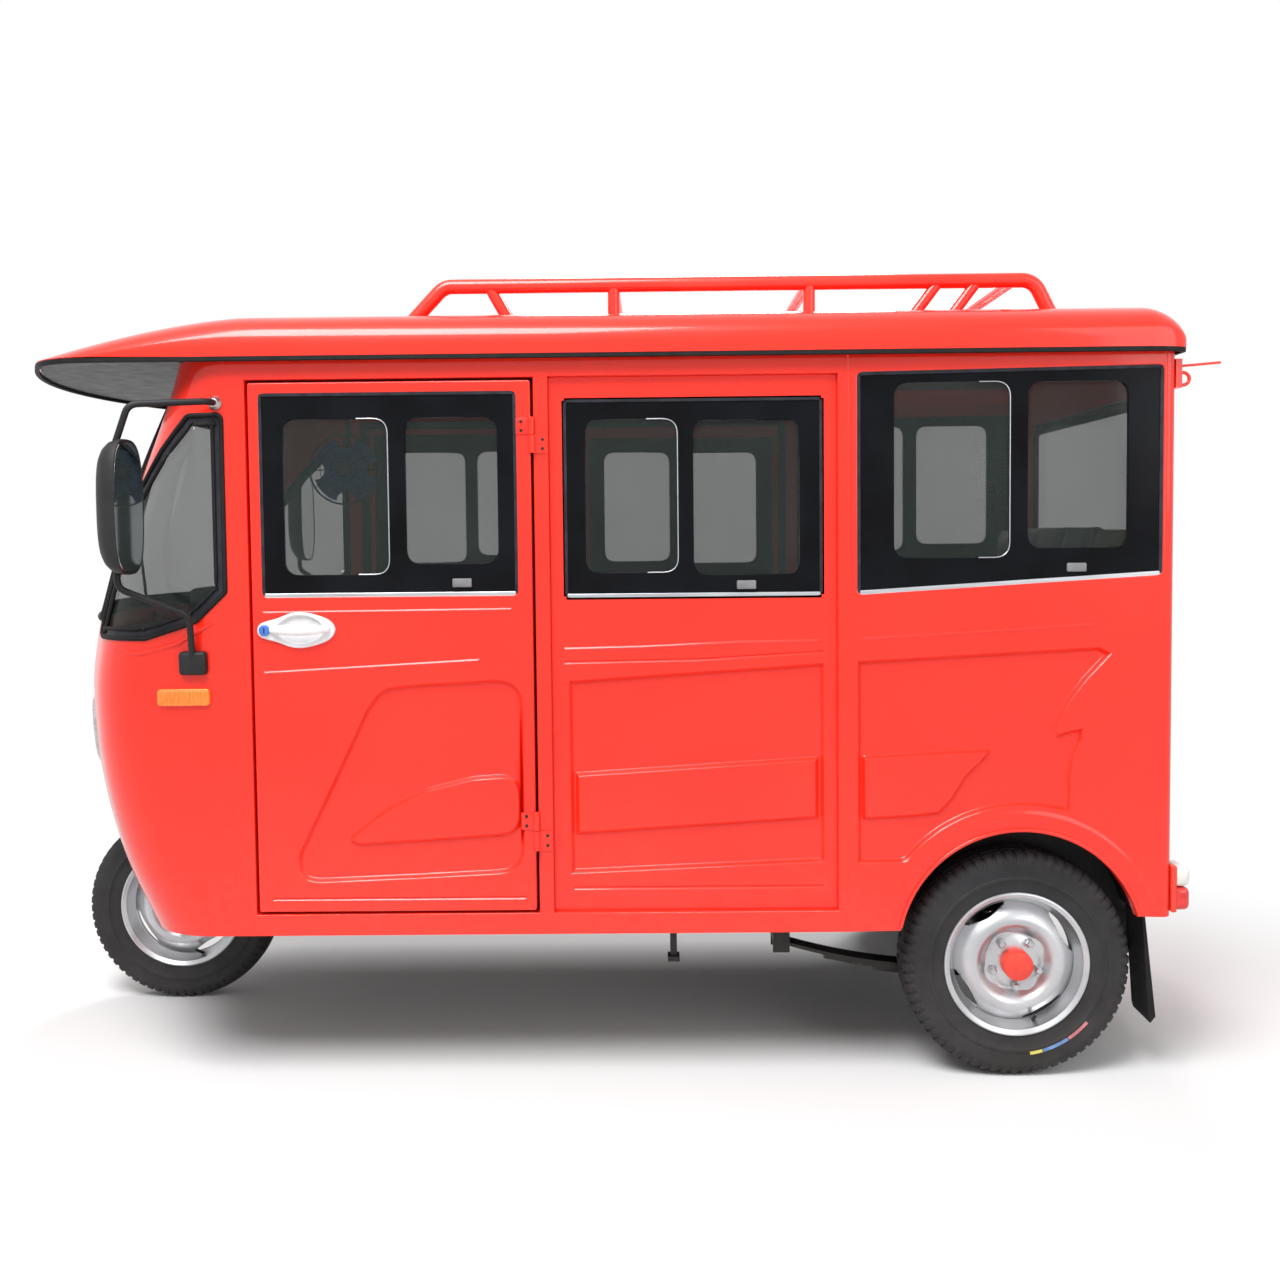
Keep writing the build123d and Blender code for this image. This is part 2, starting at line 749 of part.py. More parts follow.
left_door = door(door_opening, door_window, hinge_x, door_recess, door_ribs)
save(left_door, "door_left")
save(mirrored(left_door), "door_right_front")
middle_door = door(middle_opening, middle_window, middle_hinge_x, middle_recess, middle_ribs)
save(mirrored(middle_door), "door_right_middle")
save(pressed_panel(middle_opening, middle_window, half_width - panel_recess, middle_recess, middle_ribs),
     "middle_panel_left")

# Windows
glass_y = half_width - glass_depth
door_glass = window_slab(glass_y, glass_thickness, corners(door_window))
middle_glass = window_slab(glass_y, glass_thickness, corners(middle_window))
fixed_glass = window_slab(glass_y - panel_recess + glass_depth / 2, glass_thickness, corners(middle_window))
quarter_glass = window_slab(glass_y, glass_thickness, quarter_outline(quarter_window, quarter_window_rise))
save(door_glass, "window_door_left")
save(mirrored(door_glass), "window_door_right_front")
save(mirrored(middle_glass), "window_door_right_middle")

with BuildPart() as rear_pane:
    with BuildSketch(Plane.YZ.offset(body_rear_x - glass_depth - glass_thickness)):
        rectangle(*rear_window, corner=rear_window_corner)
    extrude(amount=glass_thickness)
with BuildPart() as quarter_lights:
    add(nose_shape(glass_inset, belt_z, roof_z))
    add(nose_shape(glass_inset + glass_thickness, belt_z, roof_z), mode=Mode.SUBTRACT)
    add(quarter_light_prism(), mode=Mode.INTERSECT)
with BuildPart() as fixed_windows:
    add(fixed_glass)
    add(both_sides(quarter_glass))
    add(rear_pane.part)
    add(quarter_lights.part)
save(fixed_windows.part, "fixed_windows")

with BuildPart() as windscreen:
    add(nose_shape(glass_inset, belt_z, roof_z))
    add(nose_shape(glass_inset + glass_thickness, belt_z, roof_z), mode=Mode.SUBTRACT)
    add(windscreen_prism(), mode=Mode.INTERSECT)
save(windscreen.part, "windscreen")

with BuildPart() as rear_wall:
    with BuildSketch(Plane.YZ.offset(body_rear_x - wall)):
        rectangle(-inner_half, inner_half, rear_bottom_z, roof_z)
        rectangle(*rear_window, mode=Mode.SUBTRACT, corner=rear_window_corner)
    extrude(amount=wall)
save(rear_wall.part, "rear_wall")

# Nose
lamp_places = [(front_axle_x - 79, y, lamp_z) for y in (-lamp_y, lamp_y)]
with BuildPart() as nose:
    add(nose_shape(0, sill_z, belt_z))
    add(nose_shape(nose_wall, sill_z, belt_z), mode=Mode.SUBTRACT)
    block(front_axle_x - far, firewall_x, -tunnel_half, tunnel_half, sill_z - 1, tunnel_z, mode=Mode.SUBTRACT)
    with Locations(*lamp_places):
        Cylinder(lamp_radius, 200, rotation=(0, 90, 0), mode=Mode.SUBTRACT)
save(nose.part, "nose_fascia")

with BuildPart() as screen_frame:
    add(nose_shape(0, belt_z, roof_z))
    add(nose_shape(nose_wall, belt_z, roof_z), mode=Mode.SUBTRACT)
    add(windscreen_prism(), mode=Mode.SUBTRACT)
    add(quarter_light_prism(), mode=Mode.SUBTRACT)
save(screen_frame.part, "windscreen_frame")

with BuildPart() as housing:
    block(front_axle_x - far, firewall_x + tunnel_wall, -tunnel_half - tunnel_wall, tunnel_half + tunnel_wall,
          sill_z, tunnel_z + tunnel_wall)
    block(front_axle_x - far, firewall_x, -tunnel_half, tunnel_half, sill_z, tunnel_z, mode=Mode.SUBTRACT)
    add(nose_shape(nose_wall, sill_z, belt_z), mode=Mode.INTERSECT)
    with BuildSketch(steer_plane):
        Circle(head_tube_radius)
    extrude(amount=bar_s, mode=Mode.SUBTRACT)
save(housing.part, "front_wheel_housing")

with BuildPart() as dashboard:
    add(nose_shape(nose_wall, belt_z - dash_depth, belt_z))
    block(dash_rear_x, pillar_front_x, -half_width, half_width, sill_z, belt_z + 1, mode=Mode.SUBTRACT)
    block(front_axle_x - far, pillar_front_x, -half_width, half_width, sill_z, belt_z - dash_thickness,
          mode=Mode.SUBTRACT)
save(dashboard.part, "dashboard")

with BuildPart() as head_lamps:
    add(nose_shape(-lamp_stand, sill_z, belt_z))
    with Locations(*lamp_places):
        Cylinder(lamp_radius - turning_gap, 110, rotation=(0, 90, 0), mode=Mode.INTERSECT)
save(head_lamps.part, "head_lamps")

with BuildPart() as indicator:
    length, stand, height = indicator_size
    block(indicator_rear_x - length, indicator_rear_x, -half_width - stand, -half_width,
          indicator_z, indicator_z + height)
    fillet(indicator.edges().filter_by(Axis.Y), 10)
save(both_sides(indicator.part), "front_indicators")

# Roof
roof_rows = [(roof_front_x, 0, 0, 0)] + [(roof_rear_x - ahead, *drops) for ahead, *drops in roof_rear_rows]
roof_solid = roof_form(roof_rows)
side_inset = roof_half - inner_half
roof_room = [(x, side_inset, roof_side_wall, roof_top_wall) for x in (roof_front_x, body_rear_x - wall)]
with BuildPart() as roof:
    add(roof_solid)
    add(roof_form(roof_room), mode=Mode.SUBTRACT)
save(roof.part, "roof_shell")
save(visor(), "roof_visor")

with BuildPart() as gasket:
    add(roof_plan(0, roof_rear_x, gasket_depth, roof_z - gasket_depth))
    add(roof_plan(roof_half - half_width, body_rear_x, gasket_depth, roof_z - gasket_depth),
        mode=Mode.SUBTRACT)
save(gasket.part, "roof_gasket")

# Roof rack
with BuildPart() as rack:
    for y in (-rack_y, rack_y):
        foot = roof_crown_z - 60
        add(tube(((rack_foot_x[0], y, foot), (rack_shoulder_x[0], y, rack_z),
                  (rack_shoulder_x[1], y, rack_z), (rack_foot_x[1], y, foot)), rack_radius, rack_bend))
        for x in rack_post_x:
            add(rod((x, y, foot), (x, y, rack_z), rack_radius - 3))
        for x_foot, x_top in rack_struts:
            add(rod((x_foot, y, foot), (x_top, y, rack_z), rack_radius - 4))
    for x in rack_cross_x:
        add(rod((x, -rack_y, rack_z), (x, rack_y, rack_z), rack_radius - 4))
    add(roof_solid, mode=Mode.SUBTRACT)
save(rack.part, "roof_rack")

# Floor and frame
tub_radius = arch_radius + tub_gap
tub_front_x = rear_axle_x - tub_radius - tub_wall
with BuildPart() as floor:
    block(pillar_front_x, tub_front_x, -inner_half, inner_half, sill_z, floor_z)
    block(tub_front_x, body_rear_x - wall, -tub_inner_y, tub_inner_y, sill_z, floor_z)
    for side in (-1, 1):
        y0, y1 = sorted((side * (tunnel_half + tunnel_wall), side * (half_width - nose_wall)))
        block(pillar_front_x - 70, pillar_front_x, y0, y1, sill_z, floor_z)
    block(engine_x[0] - engine_room, engine_x[1] + engine_room, -engine_half - engine_room,
          engine_half + engine_room, sill_z - 1, floor_z + 1, mode=Mode.SUBTRACT)
    add(nose.part, mode=Mode.SUBTRACT)
save(floor.part, "floor_pan")

leaf_radius = ((spring_eye_x[1] - spring_eye_x[0]) ** 2 / 4 + spring_sag**2) / (2 * spring_sag)
spring_mid_x = sum(spring_eye_x) / 2
axle_bottom_z = rear_tyre_radius - axle_tube_radius
spring_centre_z = (axle_bottom_z - pad_thickness
                   + math.sqrt(leaf_radius**2 - (rear_axle_x - spring_mid_x) ** 2))

rail_inner_y = rail_y - rail_width / 2
engine_foot_y = engine_half + 40.0
head_plate_x = (rail_front_x - 15, rail_front_x + 35)
head_plate_z = (tunnel_z + tunnel_wall, tunnel_z + 60)
with BuildPart() as frame:
    for side in (-1, 1):
        y0 = side * rail_y - rail_width / 2
        block(rail_front_x, body_rear_x - wall, y0, y0 + rail_width, sill_z - rail_height, sill_z)
        u0, u1 = sorted((side * (rail_y - 50), side * (rail_y - 10)))
        block(rail_front_x, rail_front_x + post_width, u0, u1, sill_z, head_plate_z[1])
        a0, a1 = sorted((side * engine_half, side * rail_inner_y))
        block(*engine_foot_x, a0, a1, sill_z - rail_height, sill_z)
        f0, f1 = sorted((side * engine_half, side * engine_foot_y))
        block(*engine_foot_x, f0, f1, sill_z - rail_height - 15, sill_z)
    for x in (*cross_x, *spring_eye_x):
        reach = spring_y + spring_width / 2 + hanger_thickness
        block(x - 20, x + 20, -reach, reach, sill_z - cross_height, sill_z)
    for x in spring_eye_x:
        for side in (-1, 1):
            for y in (-spring_width / 2 - hanger_thickness, spring_width / 2):
                hanger_y = side * spring_y + y
                block(x - 20, x + 20, hanger_y, hanger_y + hanger_thickness, hanger_bottom_z, sill_z)
    block(*head_plate_x, 10 - rail_y, rail_y - 10, *head_plate_z)
    with BuildSketch(steer_plane.offset(head_tube_s[0])):
        Circle(head_tube_radius)
    extrude(amount=head_tube_s[1] - head_tube_s[0])
    with BuildSketch(steer_plane):
        Circle(stem_radius + turning_gap)
    extrude(amount=bar_s, mode=Mode.SUBTRACT)
save(frame.part, "chassis_frame")

# Rear axle, springs and drive
brake_y = rear_track / 2 - 64.0
with BuildPart() as axle:
    with Locations((rear_axle_x, 0, rear_tyre_radius)):
        Cylinder(axle_tube_radius, 2 * tub_inner_y, rotation=(90, 0, 0))
        Cylinder(axle_radius, rear_track + 40, rotation=(90, 0, 0))
        Cylinder(differential_radius, differential_width, rotation=(90, 0, 0))
    with Locations(*((rear_axle_x, y, rear_tyre_radius) for y in (-brake_y, brake_y))):
        Cylinder(brake_radius, brake_width, rotation=(90, 0, 0))
    with Locations((rear_axle_x - pinion_reach + 45, 0, rear_tyre_radius)):
        Cylinder(pinion_radius, 90, rotation=(0, 90, 0))
save(axle.part, "rear_axle")

with BuildPart() as springs:
    for side in (-1, 1):
        y_mid = side * spring_y
        for index, half_angle in enumerate(leaf_half_angles):
            radius = leaf_radius + index * leaf_thickness
            a0, a1 = math.radians(-90 - half_angle), math.radians(-90 + half_angle)
            low, high = radius, radius + leaf_thickness
            ends = [[(spring_mid_x + r * math.cos(a), spring_centre_z + r * math.sin(a)) for a in (a0, a1)]
                    for r in (low, high)]
            bottoms = [(spring_mid_x, spring_centre_z - r) for r in (low, high)]
            with BuildSketch(Plane.XZ.offset(-y_mid)):
                with BuildLine():
                    ThreePointArc(ends[0][0], bottoms[0], ends[0][1])
                    Line(ends[0][1], ends[1][1])
                    ThreePointArc(ends[1][1], bottoms[1], ends[1][0])
                    Line(ends[1][0], ends[0][0])
                make_face()
            extrude(amount=spring_width / 2, both=True)
        block(rear_axle_x - pad_half[0], rear_axle_x + pad_half[0], y_mid - pad_half[1], y_mid + pad_half[1],
              axle_bottom_z - 20, axle_bottom_z + 15)
    with Locations((rear_axle_x, 0, rear_tyre_radius)):
        Cylinder(axle_tube_radius, 2 * half_width, rotation=(90, 0, 0), mode=Mode.SUBTRACT)
        Cylinder(brake_radius, 2 * half_width, rotation=(90, 0, 0), mode=Mode.SUBTRACT)
save(springs.part, "leaf_springs")

with BuildPart() as engine:
    block(*engine_x, -engine_half, engine_half, *engine_z)
save(engine.part, "engine_block")

with BuildPart() as shaft:
    add(rod((engine_x[1] - 5, 0, sill_z - 33), (rear_axle_x - pinion_reach + 5, 0, rear_tyre_radius + 4),
            shaft_radius))
    add(engine.part, mode=Mode.SUBTRACT)
    add(axle.part, mode=Mode.SUBTRACT)
save(shaft.part, "propeller_shaft")

# Wheel tubs and flaps
flap_x = rear_axle_x + rear_tyre_radius + 23.0
with BuildPart() as tub:
    with BuildSketch(Plane.XZ.offset(tub_inner_y)):
        with Locations((rear_axle_x, arch_z)):
            Circle(tub_radius + tub_wall)
        rectangle(rear_axle_x - far, rear_axle_x + far, 0, rear_bottom_z, mode=Mode.SUBTRACT)
    extrude(amount=inner_half - tub_inner_y)
    with BuildSketch(Plane.XZ.offset(tub_inner_y + tub_wall)):
        with Locations((rear_axle_x, arch_z)):
            Circle(tub_radius)
    extrude(amount=inner_half - tub_inner_y, mode=Mode.SUBTRACT)
    block(flap_x - 2, body_rear_x - wall, -inner_half, -tub_inner_y, rear_bottom_z, rear_bottom_z + 11)
save(both_sides(tub.part), "wheel_tubs")

with BuildPart() as flap:
    with BuildSketch(Plane.XZ.offset(flap_inner_y)):
        with BuildLine():
            Polyline((flap_x, rear_bottom_z), (flap_x + 6, rear_bottom_z), (flap_x + 33, flap_bottom_z + 15),
                     (flap_x + 21, flap_bottom_z), (flap_x + 17, flap_bottom_z + 15), close=True)
        make_face()
    extrude(amount=inner_half - flap_inner_y)
save(both_sides(flap.part), "mud_flaps")

with BuildPart() as peg:
    block(peg_x - 8, peg_x + 8, peg_y - 10, peg_y + 10, peg_bottom_z + 12, sill_z)
    block(peg_x - 14, peg_x + 14, peg_y - 18, peg_y + 18, peg_bottom_z, peg_bottom_z + 12)
save(peg.part, "underbody_peg")

# Rear details
with BuildPart() as bumper:
    block(body_rear_x, body_rear_x + bumper_depth, -bumper_half, bumper_half,
          bumper_z - bumper_height / 2, bumper_z + bumper_height / 2)
    fillet(bumper.edges().filter_by(Axis.Y), 8)
    with Locations(*((body_rear_x + bumper_depth / 2, side * plate_spacing / 2, bumper_z)
                     for side in (-1, 1))):
        Cylinder(plate_hole_radius, bumper_depth + 6, rotation=(0, 90, 0), mode=Mode.SUBTRACT)
save(bumper.part, "rear_bumper")
with BuildPart() as tail:
    depth, width, height = tail_lamp_size
    block(body_rear_x, body_rear_x + depth, 3 - half_width, 3 - half_width + width,
          rear_bottom_z + 12, rear_bottom_z + 12 + height)
    fillet(tail.faces().sort_by(Axis.X)[-1].edges(), tail_lamp_round)
save(both_sides(tail.part), "tail_lamps")
with BuildPart() as bracket:
    block(body_rear_x, body_rear_x + 14, bracket_y - 20, bracket_y + 20, roof_z - 88, roof_z - 23)
    add(rod((body_rear_x + 10, bracket_y, roof_z - 38), (body_rear_x + bracket_rod_reach, bracket_y, roof_z - 30), 3))
    with Locations((body_rear_x + 24, bracket_y, roof_z - 66)):
        Torus(14, 4, rotation=(90, 0, 0))
save(bracket.part, "rear_bracket")

# Mirrors
mirror_mid_x = sum(mirror_x) / 2
foot_y = half_width + 40.0
upper_arm = (
    (pillar_front_x - 18, 22 - half_width, roof_z - 100), (pillar_front_x - 18, -foot_y, roof_z - 100),
    (mirror_mid_x + 35, -mirror_y, roof_z - 118), (mirror_mid_x, -mirror_y, mirror_z[1] - 20),
)
lower_arm = (
    (mirror_mid_x, -mirror_y, mirror_z[0] + 20), (mirror_mid_x, -mirror_y, mirror_z[0] - 30),
    (pillar_front_x - 75, -foot_y, mirror_block_z[1] + 84),
    (pillar_front_x - 80, -half_width - 8, mirror_block_z[0] + 28),
)
with BuildPart() as mirror_piece:
    block(*mirror_x, -mirror_y - mirror_half, -mirror_y + mirror_half, *mirror_z)
    fillet(mirror_piece.edges().filter_by(Axis.X), mirror_round)
    for arm in (upper_arm, lower_arm):
        add(tube(arm, mirror_arm_radius, mirror_arm_bend))
    block(*mirror_block_x, -half_width - mirror_block_depth, -half_width, *mirror_block_z)
    add(nose_shape(0, belt_z, roof_z), mode=Mode.SUBTRACT)
save(both_sides(mirror_piece.part), "mirrors")

# Seats
seat_box = (driver_seat_x[0] + 10, driver_seat_x[1], driver_half - 10)
with BuildPart() as bases:
    block(*seat_box[:2], -seat_box[2], seat_box[2], floor_z, cushion_z)
    block(*middle_seat_x, 20 - middle_half, middle_half - 20, floor_z, cushion_z)
    block(rear_seat_x[0], rear_back_x[0] - 30, 5 - tub_inner_y, tub_inner_y - 5, floor_z, cushion_z)
    block(seat_box[0] + seat_box_wall, seat_box[1] - seat_box_wall, seat_box_wall - seat_box[2],
          seat_box[2] - seat_box_wall, floor_z - 1, cushion_z - seat_box_wall, mode=Mode.SUBTRACT)
save(bases.part, "seat_bases")


def seat(cushion_x, half, back_x, back_top):
    """A cushion and the back beside it, with rounded upright edges."""
    with BuildPart() as cushions:
        block(*cushion_x, -half, half, cushion_z + turning_gap, cushion_z + cushion_thickness)
        fillet(cushions.edges().filter_by(Axis.Z), cushion_round)
        block(*back_x, -half, half, cushion_z + cushion_thickness + turning_gap, back_top)
        fillet(cushions.edges().filter_by(Axis.X).group_by(Axis.Z)[-1], back_round)
    return cushions.part


save(seat(driver_seat_x, driver_half, driver_back_x, driver_back_top), "driver_seat")
with BuildPart() as benches:
    add(seat(middle_seat_x, middle_half, middle_back_x, middle_back_top))
    add(seat(rear_seat_x, rear_half, rear_back_x, rear_back_top))
save(benches.part, "passenger_seats")

# Steering: fork, bar and mudguard
fork_x = -fork_offset
with BuildPart() as fork:
    for y in (-fork_half, fork_half):
        for radius, s0, s1 in (fork_slider, (fork_tube_radius, fork_slider[2], yoke_s + yoke_thickness)):
            add(rod(steer_point(fork_x, y, s0), steer_point(fork_x, y, s1), radius))
    with BuildSketch(steer_plane.offset(yoke_s)):
        with Locations((fork_x / 2, 0)):
            RectangleRounded(yoke_depth, 2 * (fork_half + yoke_overhang), 20)
    extrude(amount=yoke_thickness)
    with BuildSketch(steer_plane.offset(yoke_s)):
        Circle(stem_radius)
    extrude(amount=bar_s - yoke_s)
    with Locations((front_axle_x, 0, front_tyre_radius)):
        Cylinder(axle_radius, 2 * fork_half + 30, rotation=(90, 0, 0))
save(fork.part, "steering_fork")

bar_top = bar_s + clamp_radius / 2
bar_back, bar_middle = bar_sweep
bar_corner = 110.0
grip_inner = 236.0
grip_back = bar_middle + (bar_back - bar_middle) * (grip_inner - bar_corner) / (bar_half - bar_corner)
with BuildPart() as bar:
    add(tube((steer_point(bar_back, -bar_half, bar_top), steer_point(bar_middle, -bar_corner, bar_top),
              steer_point(bar_middle, bar_corner, bar_top), steer_point(bar_back, bar_half, bar_top)),
             bar_radius, bar_bend))
    for side in (-1, 1):
        add(rod(steer_point(bar_back, side * bar_half, bar_top),
                steer_point(grip_back, side * grip_inner, bar_top), grip_radius))
    with BuildSketch(steer_plane.offset(bar_s)):
        Circle(clamp_radius)
    extrude(amount=clamp_radius)
save(bar.part, "handlebar")

with BuildPart() as guard:
    with BuildSketch(Plane(origin=(front_axle_x, 0, front_tyre_radius), x_dir=(1, 0, 0), z_dir=(0, -1, 0))):
        Circle(guard_outer)
        Circle(guard_inner, mode=Mode.SUBTRACT)
        with BuildLine():
            Polyline((0, 0), (400, 300), (400, 500), (-200, 500), close=True)
        make_face(mode=Mode.INTERSECT)
    extrude(amount=guard_half, both=True)
    for side in (-1, 1):
        y0, y1 = sorted((side * guard_half, side * (fork_half - fork_tube_radius + 2)))
        block(front_axle_x + 88, front_axle_x + 108, y0, y1,
              front_tyre_radius + guard_outer - 38, front_tyre_radius + guard_outer - 16)
    add(fork.part, mode=Mode.SUBTRACT)
save(guard.part, "front_mudguard")

# Wheels
save(wheel_rim(front_axle_x, 0, front_tyre_radius, front_rim_width, 0, -1), "rim_front")
save(wheel_tyre(front_axle_x, 0, front_tyre_radius, front_tyre_radius, front_tyre_width, front_rim_width),
     "tyre_front")
for side, name in ((-1, "left"), (1, "right")):
    y = side * rear_track / 2
    save(wheel_rim(rear_axle_x, y, rear_tyre_radius, rear_rim_width, side * disc_offset, side),
         f"rim_rear_{name}")
    save(wheel_tyre(rear_axle_x, y, rear_tyre_radius, rear_tyre_radius, rear_tyre_width, rear_rim_width),
         f"tyre_rear_{name}")

# Door furniture
with BuildPart() as hinges:
    add(both_sides(hinge_half(hinge_x, lower=True)))
    add(mirrored(hinge_half(middle_hinge_x, lower=True)))
save(hinges.part, "door_hinges")
front_handle = handle(door_window[0] - handle_ahead)
middle_handle = handle(middle_window[0] - handle_ahead)
save(front_handle, "handle_door_left")
save(mirrored(front_handle), "handle_door_right_front")
save(mirrored(middle_handle), "handle_door_right_middle")

# Cab fan on its bracket
with BuildPart() as fan_bracket:
    add(rod((fan_x, 25, fan_z), (fan_x, 25, roof_crown_z - roof_top_wall - 0.4), 9))
    add(rod((fan_x, 8, fan_z), (fan_x, 60, fan_z), fan_motor_radius))
save(fan_bracket.part, "fan_housing")
with BuildPart() as rotor:
    add(rod((fan_x, -18, fan_z), (fan_x, 8 - turning_gap, fan_z), fan_hub_radius))
    with BuildSketch(Plane.XZ.offset(6)):
        with Locations((fan_x, fan_z)):
            Circle(fan_radius)
            with PolarLocations(fan_radius - 4, 4):
                Circle(fan_notch_radius, mode=Mode.SUBTRACT)
    extrude(amount=3)
save(rotor.part, "fan_rotor")
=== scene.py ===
"""The looks of the enclosed auto rickshaw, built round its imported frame.

Metres, front at -X, left side at -Y."""

import math

import bmesh
import bpy
from mathutils import Matrix, Vector
from mathutils.geometry import delaunay_2d_cdt


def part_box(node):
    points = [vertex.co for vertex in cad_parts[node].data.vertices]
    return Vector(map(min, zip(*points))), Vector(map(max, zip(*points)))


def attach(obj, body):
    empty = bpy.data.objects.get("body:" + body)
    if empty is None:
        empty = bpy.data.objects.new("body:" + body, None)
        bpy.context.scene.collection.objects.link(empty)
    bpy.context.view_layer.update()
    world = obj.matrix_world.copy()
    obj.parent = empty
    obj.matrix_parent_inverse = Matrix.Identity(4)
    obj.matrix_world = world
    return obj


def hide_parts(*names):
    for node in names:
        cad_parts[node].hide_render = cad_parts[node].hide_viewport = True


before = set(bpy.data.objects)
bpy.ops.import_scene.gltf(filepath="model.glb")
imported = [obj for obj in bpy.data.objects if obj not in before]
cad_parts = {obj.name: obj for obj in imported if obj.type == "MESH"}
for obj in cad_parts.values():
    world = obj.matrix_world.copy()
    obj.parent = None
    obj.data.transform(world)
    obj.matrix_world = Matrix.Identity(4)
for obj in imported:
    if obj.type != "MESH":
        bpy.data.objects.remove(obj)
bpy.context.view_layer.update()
scene = bpy.context.scene
MM = 0.001

# Main lines of the body, from the frame
side_low, side_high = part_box("side_frame_right")
half_width = side_high.y
inner_half = 0.580
sill_z, roof_z = side_low.z, side_high.z
pillar_x, quarter_x = side_low.x, side_high.x
rear_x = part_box("rear_wall")[1].x
rear_bottom_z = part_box("rear_wall")[0].z
belt_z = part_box("nose_fascia")[1].z
front_axle = sum(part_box("tyre_front"), Vector()) / 2
rear_axle = sum(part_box("tyre_rear_left"), Vector()) / 2
front_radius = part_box("tyre_front")[1].z / 2
rear_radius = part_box("tyre_rear_left")[1].z / 2
roof_low, roof_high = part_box("roof_shell")
roof_half = roof_high.y
door_front_x = pillar_x + 0.0485
door_rear_x = door_front_x + 0.6525
middle_front_x = door_rear_x + 0.034
middle_rear_x = quarter_x - 0.023
seam = 0.006
arch_centre = (rear_axle.x, rear_radius + 0.041)
arch_radius = rear_radius + 0.013
flare_radius = arch_radius + 0.063
panel_recess = 0.018
steer_lean = math.radians(24)
steer_foot = Vector((front_axle.x + 0.041 * math.cos(steer_lean), 0,
                     front_axle.z - 0.041 * math.sin(steer_lean)))
steer_up = Vector((math.sin(steer_lean), 0, math.cos(steer_lean)))
steer_back = Vector((math.cos(steer_lean), 0, -math.sin(steer_lean)))

# Nose: height, then X from the front axle of the centre line and of the side's end, and the corner radius
NOSE_ROWS = [
    (sill_z, -0.013, 0.286, 0.180), (sill_z + 0.157, -0.084, 0.216, 0.180),
    (sill_z + 0.365, -0.134, 0.166, 0.180),
    (belt_z - 0.120, -0.147, 0.153, 0.180), (belt_z, -0.133, 0.169, 0.180),
    (belt_z + 0.082, -0.115, 0.186, 0.180),
    (roof_z - 0.270, -0.014, 0.271, 0.175), (roof_z - 0.078, 0.113, 0.326, 0.150),
    (roof_z, 0.171, 0.336, 0.130),
]


# Plane geometry

def anticlockwise(loop):
    """The loop as vectors, turned so that it runs anticlockwise."""
    points = [Vector(p) for p in loop]
    area = sum(a.x * b.y - b.x * a.y for a, b in zip(points, points[1:] + points[:1]))
    return points if area > 0 else points[::-1]


def offset_loop(loop, distance):
    """An anticlockwise loop moved outwards by a distance."""
    moved = []
    for index, here in enumerate(loop):
        along = (here - loop[index - 1]).normalized()
        onward = (loop[(index + 1) % len(loop)] - here).normalized()
        bisector = Vector((along.y + onward.y, -along.x - onward.x))
        moved.append(here + bisector * (2 * distance / max(bisector.length_squared, 0.5)))
    return moved


def smooth_loop(points, steps=6):
    """A closed smooth curve through its points."""
    points = anticlockwise(points)
    result = []
    for index, here in enumerate(points):
        before, after = points[index - 1], points[(index + 1) % len(points)]
        later = points[(index + 2) % len(points)]
        for part in range(steps):
            t = part / steps
            square = (before * 2 - here * 5 + after * 4 - later) * t ** 2
            cube = (here * 3 - before - after * 3 + later) * t ** 3
            result.append((here * 2 + (after - before) * t + square + cube) / 2)
    return result


def inside(point, loop):
    """Whether a point lies in a loop."""
    odd = False
    for a, b in zip(loop, loop[1:] + loop[:1]):
        if (a.y > point.y) != (b.y > point.y):
            if point.x < (b.x - a.x) * (point.y - a.y) / (b.y - a.y) + a.x:
                odd = not odd
    return odd


def arc(centre, radius, start, end, steps):
    """Points of an arc between two angles in degrees."""
    angles = [math.radians(start + (end - start) * i / steps) for i in range(steps + 1)]
    return [(centre[0] + radius * math.cos(a), centre[1] + radius * math.sin(a)) for a in angles]


def rounded(points, radius, steps=5):
    """A closed outline with its corners rounded. The radius is one number or one for each corner."""
    loop = anticlockwise(points)
    radii = list(radius) if hasattr(radius, "__len__") else [radius] * len(loop)
    result = []
    for index, here in enumerate(loop):
        before, after = loop[index - 1], loop[(index + 1) % len(loop)]
        a, b = (before - here), (after - here)
        turn = a.angle(b)
        reach = min(radii[index] / math.tan(turn / 2), a.length * 0.49, b.length * 0.49)
        start, end = here + a.normalized() * reach, here + b.normalized() * reach
        for step in range(steps + 1):
            t = step / steps
            result.append(start * (1 - t) ** 2 + here * 2 * t * (1 - t) + end * t ** 2)
    return result


def rectangle(x0, x1, z0, z1, radius=0.0, steps=5):
    """A rectangle's corners, rounded where a radius is given."""
    corners = [(x0, z0), (x1, z0), (x1, z1), (x0, z1)]
    return rounded(corners, radius, steps) if radius else anticlockwise(corners)


def smooth_rows(rows, z):
    """A table's values at a height, on a smooth curve through its rows."""
    z = min(max(z, rows[0][0]), rows[-1][0])
    index = max(i for i in range(len(rows) - 1) if rows[i][0] <= z + 1e-9)
    low, high = rows[index], rows[index + 1]
    before, after = rows[max(index - 1, 0)], rows[min(index + 2, len(rows) - 1)]
    span = high[0] - low[0]
    t = (z - low[0]) / span
    values = []
    for column in range(1, len(low)):
        slope_low = (high[column] - before[column]) / (high[0] - before[0]) * span
        slope_high = (after[column] - low[column]) / (after[0] - low[0]) * span
        values.append((2 * t ** 3 - 3 * t ** 2 + 1) * low[column] + (t ** 3 - 2 * t ** 2 + t) * slope_low
                      + (3 * t ** 2 - 2 * t ** 3) * high[column] + (t ** 3 - t ** 2) * slope_high)
    return values


